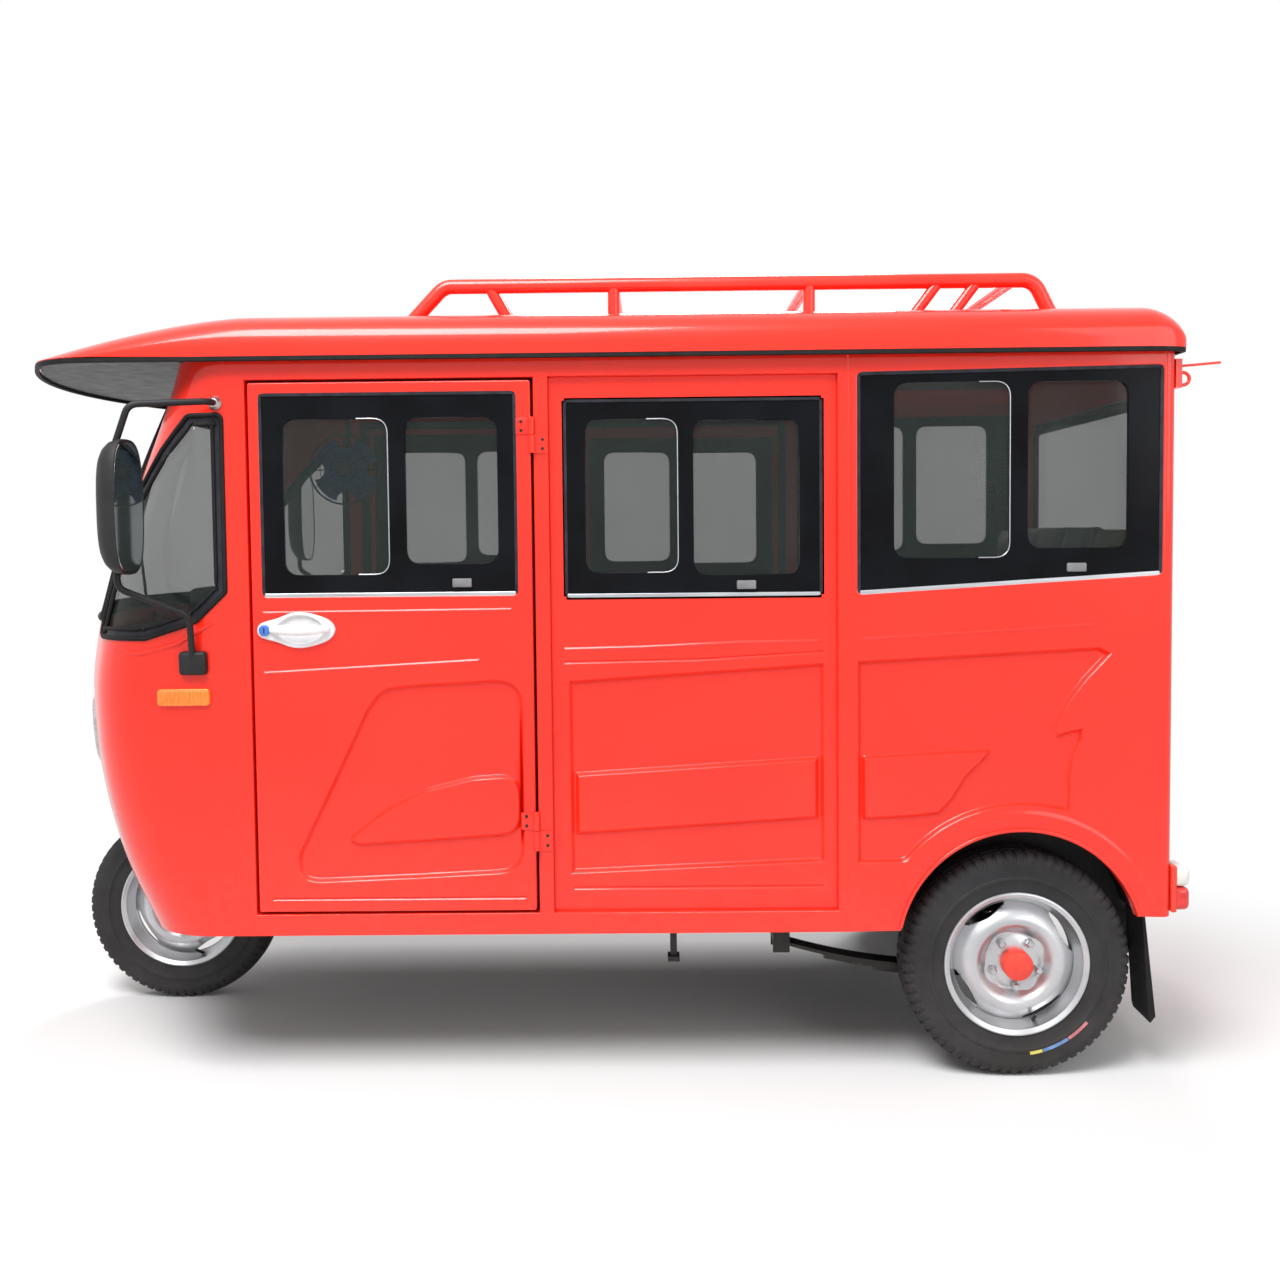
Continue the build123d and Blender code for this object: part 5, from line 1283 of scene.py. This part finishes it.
def nose_furniture():
    """Wiper, air slots and blank front plate with its bolts on the nose."""
    pivot = Vector((nose_x(0.12, belt_z + 0.02) - 0.012, 0.12, belt_z + 0.02))
    tip_y, tip_z = -0.17, belt_z + 0.35
    tip = Vector((nose_x(tip_y, tip_z) - 0.014, tip_y, tip_z))
    middle = (pivot + tip) / 2 + Vector((-0.012, 0, 0))
    finish(tube("wiper_arm", [pivot, middle, tip], 0.004, 0.2), satin_black)
    blade = []
    for i in range(13):
        t = i / 12
        y, z = tip_y + 0.11 - 0.17 * t, tip_z - 0.20 + 0.33 * t
        blade.append((nose_x(y, z) - 0.004, y, z))
    finish(tube("wiper_blade", blade, 0.005), rubber)
    finish(knob("wiper_pivot", [(0, -0.010), (0.012, -0.008), (0.014, 0.0), (0.016, 0.022), (0, 0.022)],
                pivot, 24, "X"),
           plastic)
    for index in range(5):
        z = tunnel_z + 0.075 + 0.022 * index
        slot_loop = rectangle(-0.15, 0.15, z, z + 0.010, 0.004, 3)
        finish(sheet(f"air_slot_{index}", dense(slot_loop, 0.02), nose_front(-0.003), thickness=0.008,
                     edge=0.0015),
               plastic)
    plate_z = belt_z - 0.125
    finish(sheet("front_plate", rectangle(-0.13, 0.13, plate_z - 0.035, plate_z + 0.035, 0.006, 3),
                 lambda u, v, depth: Vector((nose_x(0, plate_z) - 0.010 + depth, u, v)), thickness=0.003,
                 edge=0.001), blank_plate)
    for y in (-0.10, 0.10):
        spacer = knob(f"front_plate_bolt_{'left' if y < 0 else 'right'}",
                      [(0, -0.013), (0.005, -0.013), (0.006, -0.010), (0.006, 0.012), (0, 0.012)],
                      (nose_x(0, plate_z), y, plate_z), 6, "X")
        finish(spacer, bright_steel)


# Wheels

def tyre(name, body, centre, radius, width, rim_width, replaced):
    """A road tyre: moulded side walls, circumferential grooves and cut shoulder blocks."""
    pitches, half, bead, seat = 66, width / 2, 0.159, rim_width / 2 - 0.005
    groove = 0.005
    side_wall = [(bead, seat), (0.171, seat + 0.001), (0.178, seat + 0.0035), (0.186, half - 0.0065),
                 (0.199, half - 0.0015),
                 (0.201, half + 0.0006), (0.206, half + 0.0006), (0.208, half - 0.001),
                 (radius - 0.034, half),
                 (radius - 0.030, half + 0.0006), (radius - 0.026, half)]
    shoulder = [(radius - 0.021, half - 0.001, 1), (radius - 0.013, half - 0.004, 1),
                (radius - 0.006, half - 0.010, 1),
                (radius - 0.0025, half - 0.017, 1)]
    treads = [(radius - 0.002, half - 0.018, 1), (radius - 0.002 - groove, half - 0.0185, 0),
              (radius - 0.002 - groove, half - 0.0225, 0), (radius - 0.0016, half - 0.023, 2),
              (radius - 0.0006, half * 0.36, 2), (radius - 0.0006 - groove, half * 0.35, 0),
              (radius - 0.0006 - groove, half * 0.27, 0), (radius - 0.0004, half * 0.26, 3),
              (radius, half * 0.04, 3)]
    half_profile = [(r, w, 0) for r, w in side_wall] + shoulder + treads
    profile = half_profile + [(r, -w, kind) for r, w, kind in half_profile[::-1]]
    profile += [(bead, 0.0, 0)]
    rows = []
    stations = ((0.0, False), (0.58, False), (0.64, True), (0.94, True))
    for pitch in range(pitches):
        for share, is_cut in stations:
            row = []
            for r, w, kind in profile:
                a = 2 * math.pi * (pitch + share) / pitches
                depth = 0.0
                if is_cut and kind == 1:
                    depth = 0.0042
                elif is_cut and kind == 2 and abs(w) > half * 0.4:
                    depth = 0.0030
                elif is_cut and kind == 3 and (pitch % 2 == 0) == (w > 0):
                    depth = 0.0022
                row.append(centre + Vector(((r - depth) * math.cos(a), w, (r - depth) * math.sin(a))))
            rows.append(row)
    made = grid(name, rows, closed_u=True, closed_v=True, angle=28)
    finish(made, tyre_rubber, body, replaced=replaced)


def rim(name, body, centre, side, width, disc_y, replaced):
    """A pressed steel wheel: rolled rim, dished disc with four crescent slots, nuts, hub cap and valve."""
    half, top = width / 2, 0.168
    barrel = [(top, -half), (top + 0.0015, -half + 0.0025), (top, -half + 0.005), (0.160, -half + 0.007),
              (0.158, -half + 0.018), (0.146, -half + 0.030), (0.146, half - 0.030), (0.158, half - 0.018),
              (0.160, half - 0.007), (top, half - 0.005), (top + 0.0015, half - 0.0025), (top, half),
              (top - 0.003, half + 0.001), (0.156, half - 0.005), (0.153, half - 0.019),
              (0.142, half - 0.033),
              (0.142, -half + 0.033), (0.153, -half + 0.019), (0.156, -half + 0.005),
              (top - 0.003, -half - 0.001)]
    finish(lathe(f"{name}_barrel", barrel, centre, 96), silver, body, replaced=replaced)
    dish = [(0.030, 0.004), (0.046, 0.004), (0.058, -0.001), (0.066, -0.006), (0.074, 0.000), (0.084, 0.012),
            (0.096, 0.020), (0.108, 0.018), (0.122, 0.008), (0.134, -0.006), (0.144, -0.014)]

    def rise(r):
        for (r0, h0), (r1, h1) in zip(dish, dish[1:]):
            if r <= r1:
                t = min(max((r - r0) / (r1 - r0), 0), 1)
                return h0 + (h1 - h0) * (3 * t * t - 2 * t ** 3) * 0.5 + (h1 - h0) * t * 0.5
        return dish[-1][1]

    def place(u, v, depth):
        return centre + Vector((u, side * (disc_y + rise(math.hypot(u, v)) - depth), v))

    slots = []
    for index in range(4):
        start = 8 + 90 * index
        outer = arc((0, 0), 0.1405, start, start + 46, 10)
        chord = arc((0, 0), 0.134, start + 43, start + 3, 10)
        inner = [(x * (1 - 0.085 * math.sin(math.pi * i / 10)), z * (1 - 0.085 * math.sin(math.pi * i / 10)))
                 for i, (x, z) in enumerate(chord)]
        slots.append(outer + inner)
    rings = [(arc((0, 0), r, 0, 360 - 7.5, 47), [(0, 0.0)]) for r, _ in dish[1:-1]]
    rings += [(arc((0, 0), (a[0] + b[0]) / 2, 3, 363 - 7.5, 47), [(0, 0.0)]) for a,
              b in zip(dish[2:], dish[3:])]
    disc = sheet(f"{name}_disc", arc((0, 0), 0.144, 0, 360 - 3.75, 95), place,
                 slots + [arc((0, 0), 0.030, 0, 345, 23)],
                 rings, thickness=0.0045)
    shade(disc.data, 40)
    finish(disc, silver, body)
    stand = disc_y + 0.002
    for index in range(5):
        a = math.radians(54 + 72 * index)
        nut = knob(f"{name}_nut_{index}", [(0, 0.0), (0.010, 0.0), (0.0105, 0.003), (0.0095, 0.015),
                                           (0.007, 0.018), (0, 0.019)],
                   (0, 0, 0), 6)
        put_on_side(nut, centre + Vector((0.056 * math.cos(a), side * stand, 0.056 * math.sin(a))), side)
        shade(nut.data, 20)
        finish(nut, bright_steel, body)
    cap = knob(f"{name}_cap", [(0, -0.010), (0.034, -0.010), (0.035, 0.004), (0.0345, 0.027),
                               (0.0325, 0.031), (0.026, 0.0345),
                               (0, 0.035)], (0, 0, 0), 40)
    put_on_side(cap, centre + Vector((0, side * (disc_y + 0.008), 0)), side)
    finish(cap, red_cap, body)
    a = math.radians(-72)
    foot = centre + Vector((0.148 * math.cos(a), side * (half - 0.030), 0.148 * math.sin(a)))
    end = centre + Vector((0.128 * math.cos(a), side * (half + 0.004), 0.128 * math.sin(a)))
    finish(tube(f"{name}_valve", [foot, (foot + end) / 2, end], 0.0042), rubber, body)


def wheels():
    """The three wheels, and the colour marks on the rear left tyre."""
    rim("front_rim", "front_wheel", front_axle, -1, 0.082, 0.010, ["rim_front"])
    tyre("front_tyre", "front_wheel", front_axle, front_radius, 0.092, 0.082, ["tyre_front"])
    for side, name in ((-1, "left"), (1, "right")):
        centre = Vector((rear_axle.x, side * abs(rear_axle.y), rear_axle.z))
        rim(f"rear_rim_{name}", f"rear_{name}_wheel", centre, side, 0.100, 0.026, [f"rim_rear_{name}"])
        tyre(f"rear_tyre_{name}", f"rear_{name}_wheel", centre, rear_radius, 0.110, 0.100,
             [f"tyre_rear_{name}"])
    marks = (("yellow", -82, -74, yellow_mark), ("blue", -73.5, -56, blue_mark),
             ("rose", -55.5, -40, rose_mark))
    for name, start, end, material in marks:
        band = arc((0, 0), 0.213, start, end, 8) + arc((0, 0), 0.2055, end, start, 8)
        place = lambda u, v, depth: Vector((rear_axle.x + u, rear_axle.y - 0.0560 + depth, rear_axle.z + v))
        finish(sheet(f"tyre_mark_{name}", band, place, thickness=0.0016), material, "rear_left_wheel")


# Inside

def cushion(name, low, high, crown, channels, along, body="root", replaced=()):
    """A padded block: crowned faces, pulled-in sides and sewn channels across one axis (0 X, 1 Y, 2 Z)."""
    low, high = Vector(low), Vector(high)
    centre, half = (low + high) / 2, (high - low) / 2
    counts = [max(5, min(40, int(2 * h / 0.024))) for h in half]
    vertices, faces, index = [], [], {}

    def corner(i, j, k):
        key = (i, j, k)
        if key not in index:
            index[key] = len(vertices)
            vertices.append(Vector([2 * t / n - 1 for t, n in zip(key, counts)]))
        return index[key]

    nx, ny, nz = counts
    for i in range(nx):
        for j in range(ny):
            for k in (0, nz):
                faces.append((corner(i, j, k), corner(i + 1, j, k), corner(i + 1, j + 1, k),
                              corner(i, j + 1, k)))
    for i in range(nx):
        for k in range(nz):
            for j in (0, ny):
                faces.append((corner(i, j, k), corner(i + 1, j, k), corner(i + 1, j, k + 1),
                              corner(i, j, k + 1)))
    for j in range(ny):
        for k in range(nz):
            for i in (0, nx):
                faces.append((corner(i, j, k), corner(i, j + 1, k), corner(i, j + 1, k + 1),
                              corner(i, j, k + 1)))
    thin = min(range(3), key=lambda a: half[a])
    others = [a for a in range(3) if a != thin]
    shaped = []
    for unit in vertices:
        u, v = unit[others[0]], unit[others[1]]
        edge = max(abs(u), abs(v))
        puff = (1 - abs(u) ** 4) * (1 - abs(v) ** 4)
        w = unit[thin]
        point = Vector(unit)
        for axis in others:
            shrink = min(0.030 / half[axis], 0.2)
            point[axis] = unit[axis] * (1 - shrink * (abs(w) ** 2.5) * abs(unit[axis]) ** 3)
        squeeze = 1 - min(crown / half[thin], 0.35) * (1 - puff)
        point[thin] = w * squeeze * (1 - 0.25 * max(0.0, edge - 0.86) / 0.14 * 0.6)
        groove = 0.0
        if channels:
            t = (unit[along] + 1) / 2 * (channels + 1)
            distance = abs(t - round(t)) / (channels + 1) * 2 * half[along]
            if 0 < round(t) < channels + 1:
                groove = 0.010 * math.exp(-(distance / 0.011) ** 2)
        place = Vector([centre[a] + point[a] * half[a] for a in range(3)])
        if w > 0 or thin != 2:
            place[thin] -= math.copysign(groove, w) if abs(w) > 0.9 else 0
        shaped.append(place)
    pad = from_faces(name, shaped, faces, 80)
    smoothing = pad.modifiers.new("subdivide", "SUBSURF")
    smoothing.levels = smoothing.render_levels = 1
    apply_modifiers(pad)
    shade(pad.data, 80)
    finish(pad, leather, body, replaced=replaced)
    inflate(pad, low, high, thin, along, channels)
    return pad


def inflate(pad, low, high, thin, along, channels):
    """Fill a cushion's cover by pressure in a cloth run, held along its seams and its back face."""
    mesh = pad.data
    before = [v.co.copy() for v in mesh.vertices]
    held = pad.vertex_groups.new(name="held")
    for vertex in mesh.vertices:
        share = [(vertex.co[a] - low[a]) / (high[a] - low[a]) for a in range(3)]
        weight = 0.0
        if share[thin] < 0.12 and thin == 2:
            weight = 1.0
        if channels:
            t = share[along] * (channels + 1)
            distance = abs(t - round(t)) / (channels + 1) * (high[along] - low[along])
            if 0 < round(t) < channels + 1 and distance < 0.006:
                weight = 1.0
        if weight:
            held.add([vertex.index], weight, "REPLACE")
    cloth = pad.modifiers.new("cloth", "CLOTH")
    cloth.settings.use_pressure = True
    cloth.settings.uniform_pressure_force = 4
    cloth.settings.effector_weights.gravity = 0
    cloth.settings.vertex_group_mass = "held"
    for moment in range(1, 21):
        scene.frame_set(moment)
    apply_modifiers(pad)
    scene.frame_set(1)
    for vertex, start in zip(pad.data.vertices, before):
        moved = vertex.co - start
        if moved.length > 0.007:
            moved = moved.normalized() * 0.007
        place = start + moved
        vertex.co = [min(max(place[a], low[a] - 0.001), high[a] + 0.004) for a in range(3)]
    pad.data.update()


def seats():
    """Driver's seat and the two facing benches."""
    driver_low, driver_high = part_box("driver_seat")
    _, bench_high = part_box("passenger_seats")
    seat_z, thick = driver_low.z, 0.080
    cushion("driver_cushion", (driver_low.x + 0.004, driver_low.y + 0.004, seat_z),
            (driver_high.x, driver_high.y - 0.004, seat_z + thick),
            0.014, 3, 0, replaced=["driver_seat"])
    cushion("driver_back", (driver_high.x - 0.070, driver_low.y + 0.006, seat_z + thick + 0.002),
            (driver_high.x - 0.002, driver_high.y - 0.006, driver_high.z), 0.012, 3, 2)
    cushion("middle_cushion", (rear_axle.x - 0.776, -0.418, seat_z),
            (rear_axle.x - 0.498, 0.418, seat_z + thick), 0.014, 3, 1,
            replaced=["passenger_seats"])
    cushion("middle_back", (rear_axle.x - 0.775, -0.418, seat_z + thick + 0.002),
            (rear_axle.x - 0.708, 0.418, seat_z + 0.510),
            0.012, 3, 1)
    cushion("rear_cushion", (rear_axle.x - 0.154, -0.538, seat_z), (rear_x - 0.038, 0.538, seat_z + thick),
            0.014, 4, 1)
    cushion("rear_back", (rear_x - 0.110, -0.538, seat_z + thick + 0.002),
            (rear_x - 0.037, 0.538, bench_high.z), 0.012, 4, 1)
    seams = (("driver", driver_low.x + 0.012, driver_high.x - 0.012, 0.226, seat_z + thick - 0.018),
             ("middle", rear_axle.x - 0.762, rear_axle.x - 0.508, 0.404, seat_z + thick - 0.018),
             ("rear", rear_axle.x - 0.142, rear_x - 0.050, 0.524, seat_z + thick - 0.018))
    for name, x0, x1, half, z in seams:
        loop = [(p.x, p.y, z) for p in rectangle(x0 - 0.008, x1 + 0.008, -half - 0.010, half + 0.010, 0.03)]
        finish(tube(f"piping_{name}", loop, 0.0035, closed=True), piping)


def cabin():
    """Dashboard fittings, floor mats, handlebar controls, fan guard and grab bars."""
    dash_top = belt_z
    for index, y in enumerate((-0.10, 0.0, 0.10)):
        size = 0.045 if y == 0 else 0.032
        z = dash_top + 0.050
        ring = lathe(f"gauge_ring_{index}", [(size - 0.004, 0.0), (size, -0.002), (size + 0.003, 0.006),
                                             (size, 0.014),
                                             (size - 0.005, 0.010)], (front_axle.x + 0.140, y, z), 40, "X")
        finish(ring, bright_steel)
        face = knob(f"gauge_face_{index}", [(0, 0.0), (size - 0.002, 0.0), (size - 0.002, 0.006), (0, 0.006)],
                    (front_axle.x + 0.140, y, z), 40, "X")
        finish(face, white_plastic)
    pod = block("gauge_pod", (front_axle.x + 0.085, -0.16, dash_top + 0.001),
                (front_axle.x + 0.141, 0.16, dash_top + 0.102), 0.016, 4)
    finish(pod, plastic)
    for index, (x0, x1, y0, y1) in enumerate(((-0.82, -0.49, -0.53, 0.53), (-0.07, 0.19, -0.55, 0.55),
                                              (0.49, 0.67, -0.55, 0.55))):
        count = int((y1 - y0) / 0.022)
        parts = [block(f"mat_base_{index}", (x0, y0, sill_z + 0.0402), (x1, y1, sill_z + 0.043), 0.001, 1)]
        for i in range(count):
            y = y0 + 0.008 + i * (y1 - y0 - 0.016) / count
            parts.append(block(f"mat_rib_{index}_{i}", (x0 + 0.01, y, sill_z + 0.043),
                               (x1 - 0.01, y + 0.010, sill_z + 0.046),
                               0.001, 1))
        finish(join(f"floor_mat_{index}", parts), floor_mat)
    bar_top = steer_foot + steer_up * 0.842
    for side, name in ((-1, "left"), (1, "right")):
        inner = bar_top + steer_back * 0.061 + Vector((0, side * 0.236, 0))
        outer = bar_top + steer_back * 0.096 + Vector((0, side * 0.3185, 0))
        grip = []
        for i in range(29):
            t = i / 28
            axis_point = inner.lerp(outer, t)
            swell = 0.0158 + (0.0012 if i % 2 else -0.0006)
            if i in (0, 28):
                swell = 0.0185
            direction = (outer - inner).normalized()
            across = direction.cross(steer_up).normalized()
            grip.append([axis_point + across * swell * math.cos(a) + steer_up * swell * math.sin(a)
                         for a in (2 * math.pi * k / 20 for k in range(20))])
        finish(grid(f"grip_{name}", grip, closed_v=True, caps=True, angle=60), rubber, "steering")
        lever = [inner - steer_back * 0.02 + Vector((0, -side * 0.02, 0)), inner - steer_back * 0.045,
                 outer - steer_back * 0.055, outer - steer_back * 0.040 + Vector((0, side * 0.005, 0))]
        finish(tube(f"brake_lever_{name}", lever, 0.0045, 0.03), bright_steel, "steering")
        switch = inner + Vector((0, -side * 0.022, 0))
        finish(block(f"switch_box_{name}", switch - Vector((0.017, 0.016, 0.018)),
                     switch + Vector((0.017, 0.016, 0.018)),
                     0.006, 3), plastic, "steering")
    fan_low, fan_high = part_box("fan_rotor")
    fan = (fan_low + fan_high) / 2
    for index, r in enumerate((0.094, 0.064, 0.034)):
        bulge = 0.014 * (1 - (r / 0.094) ** 2)
        ring = [(fan.x + r * math.cos(a), fan_low.y - 0.006 - bulge, fan.z + r * math.sin(a))
                for a in (2 * math.pi * k / 48 for k in range(48))]
        finish(tube(f"fan_guard_ring_{index}", ring, 0.0010 if index else 0.0025, closed=True,
                    resolution=2), satin_black)
    spokes = []
    for k in range(12):
        a = 2 * math.pi * k / 12
        line = [(r, fan_low.y - 0.006 - 0.014 * (1 - (r / 0.094) ** 2)) for r in (0.012, 0.04, 0.07, 0.094)]
        line += [(0.092, fan_low.y + 0.035), (0.034, fan_low.y + 0.046)]
        spokes.append(tube(f"fan_spoke_{k}", [(fan.x + r * math.cos(a), y, fan.z + r * math.sin(a)) for r,
                                              y in line],
                           0.0009, resolution=1))
    finish(join("fan_guard_spokes", spokes), satin_black)
    hub = knob("fan_hub_cap", [(0, -0.0165), (0.020, -0.0165), (0.0215, -0.0185), (0.019, -0.0205),
                               (0.011, -0.0205),
                               (0.009, -0.0195), (0, -0.0195)], (fan.x, 0, fan.z), 40)
    finish(hub, grey_plastic, "cab_fan")
    for side, name in ((-1, "left"), (1, "right")):
        y = side * (inner_half - 0.030)
        bar = [(0.60, y + side * 0.026, 1.12), (0.60, y, 1.10), (1.15, y, 1.10),
               (1.15, y + side * 0.026, 1.12)]
        finish(tube(f"grab_bar_{name}", bar, 0.010, 0.03), bright_steel)


def under_parts():
    """Fork gaiters, front axle nuts and spring bolts under the floor."""
    for side, name in ((-1, "left"), (1, "right")):
        base = steer_foot - steer_back * 0.041 + Vector((0, side * 0.078, 0))
        rows = []
        for i in range(17):
            t = i / 16
            centre = base + steer_up * (0.186 + 0.075 * t)
            r = 0.0235 - 0.003 * t + (0.0020 if i % 2 else -0.0010)
            rows.append([centre + steer_back * r * math.cos(a) + Vector((0, r * math.sin(a), 0))
                         for a in (2 * math.pi * k / 24 for k in range(24))])
        finish(grid(f"fork_gaiter_{name}", rows, closed_v=True, caps=True, angle=70), rubber, "steering")
        nut = knob(f"front_axle_nut_{name}", [(0, 0.0), (0.014, 0.0), (0.014, 0.010), (0.010, 0.014),
                                              (0, 0.014)], (0, 0, 0), 6)
        put_on_side(nut, front_axle + Vector((0, side * 0.0935, 0)), side)
        shade(nut.data, 20)
        finish(nut, bright_steel, "steering")
        for index, x in enumerate((rear_axle.x - 0.034, rear_axle.x + 0.034)):
            y = side * (abs(rear_axle.y) - 0.090)
            for k, offset in enumerate((-0.026, 0.026)):
                bolt = knob(f"spring_bolt_{name}_{index}_{k}",
                            [(0, 0.0), (0.008, 0.0), (0.008, 0.008), (0.005, 0.010), (0, 0.010)],
                            (x, y + offset, 0.2052), 6, "Z")
                finish(bolt, bright_steel)


# Materials of the CAD nodes that stay as they are

def dress_nodes():
    """Each CAD node that shows gets its finish."""
    finishes = {
        satin_black: ("chassis_frame", "floor_pan", "front_wheel_housing", "propeller_shaft", "rear_axle",
                      "leaf_springs", "wheel_tubs", "underbody_peg", "front_mudguard", "handlebar",
                      "seat_bases"),
        plastic: ("dashboard", "fan_housing"), rubber: ("mud_flaps",),
        rack_paint: ("roof_rack", "rear_bumper", "rear_bracket"), cast_iron: ("engine_block",),
        bright_steel: ("steering_fork",), blue_plastic: ("fan_rotor",), body_paint: ("door_hinges",),
    }
    for chosen, nodes in finishes.items():
        for node in nodes:
            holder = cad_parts[node]
            holder.data.materials.clear()
            holder.data.materials.append(chosen)


# Light, floor and camera

def light_path_white(tree):
    """A factor that is one for what the camera sees, straight, in gloss or through glass."""
    path = tree.nodes.new("ShaderNodeLightPath")
    total = path.outputs["Is Camera Ray"]
    for output in ("Is Glossy Ray", "Is Transmission Ray"):
        most = tree.nodes.new("ShaderNodeMath")
        most.operation = "MAXIMUM"
        tree.links.new(total, most.inputs[0])
        tree.links.new(path.outputs[output], most.inputs[1])
        total = most.outputs["Value"]
    return total


def studio():
    """Pale floor that fades to white, white surroundings and soft lights."""
    world = bpy.data.worlds.new("studio")
    scene.world = world
    world.use_nodes = True
    tree = world.node_tree
    background = tree.nodes["Background"]
    background.inputs["Color"].default_value = (1, 1, 1, 1)
    strength = tree.nodes.new("ShaderNodeMapRange")
    strength.inputs["To Min"].default_value, strength.inputs["To Max"].default_value = 0.36, 1.0
    tree.links.new(light_path_white(tree), strength.inputs["Value"])
    tree.links.new(strength.outputs["Result"], background.inputs["Strength"])
    size = 60.0
    floor = from_faces("floor", [(-size, -size, 0), (size, -size, 0), (size, size, 0), (-size, size, 0)],
                       [(0, 1, 2, 3)],
                       closed=False)
    ground = new_material("pale_floor", "floor", (0.84, 0.84, 0.84), 0.85)
    tree = ground.node_tree
    shader, output = tree.nodes["Principled BSDF"], tree.nodes["Material Output"]
    glow = tree.nodes.new("ShaderNodeEmission")
    glow.inputs["Color"].default_value = (1, 1, 1, 1)
    where = tree.nodes.new("ShaderNodeTexCoord")
    oval = tree.nodes.new("ShaderNodeMapping")
    oval.inputs["Scale"].default_value = (1 / 1.75, 1 / 1.0, 1)
    tree.links.new(where.outputs["Object"], oval.inputs["Vector"])
    length = tree.nodes.new("ShaderNodeVectorMath")
    length.operation = "LENGTH"
    tree.links.new(oval.outputs["Vector"], length.inputs[0])
    fade = tree.nodes.new("ShaderNodeMapRange")
    fade.interpolation_type = "SMOOTHSTEP"
    fade.inputs["From Min"].default_value, fade.inputs["From Max"].default_value = 0.75, 1.6
    tree.links.new(length.outputs["Value"], fade.inputs["Value"])
    seen = tree.nodes.new("ShaderNodeMath")
    seen.operation = "MULTIPLY"
    tree.links.new(fade.outputs["Result"], seen.inputs[0])
    tree.links.new(light_path_white(tree), seen.inputs[1])
    mix = tree.nodes.new("ShaderNodeMixShader")
    tree.links.new(seen.outputs["Value"], mix.inputs["Fac"])
    tree.links.new(shader.outputs["BSDF"], mix.inputs[1])
    tree.links.new(glow.outputs["Emission"], mix.inputs[2])
    tree.links.new(mix.outputs["Shader"], output.inputs["Surface"])
    floor.data.materials.append(ground)
    for name, place, aim, power, size in (("key", (-1.2, -2.9, 5.0), (0, 0, 0.9), 330, 2.6),
                                          ("fill", (3.8, -4.0, 2.8), (0, 0, 0.8), 60, 3.0),
                                          ("back", (0.5, 4.2, 4.6), (0, 0, 1.0), 210, 2.4)):
        lamp = bpy.data.lights.new(name, "AREA")
        lamp.energy, lamp.size = power, size
        holder = bpy.data.objects.new(name, lamp)
        holder.location = place
        holder.rotation_euler = (Vector(aim) - Vector(place)).to_track_quat("-Z", "Y").to_euler()
        scene.collection.objects.link(holder)
    scene.view_settings.view_transform = "Standard"


def camera():
    """The photograph's viewpoint, as fitted to its lines and wheels."""
    lens, place = 35.50, Vector((0.1343, -3.4731, 1.2735))
    yaw, pitch, roll, shift = 0.008877, 0.048293, 0.010013, -0.0354
    right0, ahead0 = Vector((math.cos(yaw), math.sin(yaw), 0)), Vector((-math.sin(yaw), math.cos(yaw), 0))
    ahead = ahead0 * math.cos(pitch) - Vector((0, 0, math.sin(pitch)))
    up0 = ahead0 * math.sin(pitch) + Vector((0, 0, math.cos(pitch)))
    right = right0 * math.cos(roll) - up0 * math.sin(roll)
    up = right0 * math.sin(roll) + up0 * math.cos(roll)
    data = bpy.data.cameras.new("camera")
    data.lens, data.sensor_width, data.shift_y = lens, 36.0, shift
    holder = bpy.data.objects.new("camera", data)
    holder.matrix_world = Matrix((right, up, -ahead)).transposed().to_4x4()
    holder.location = place
    scene.collection.objects.link(holder)
    scene.camera = holder


dress_nodes()
body_sides()
nose()
front_glass()
roof()
rear()
lamps()
mirrors()
nose_furniture()
wheels()
seats()
cabin()
under_parts()
studio()
camera()
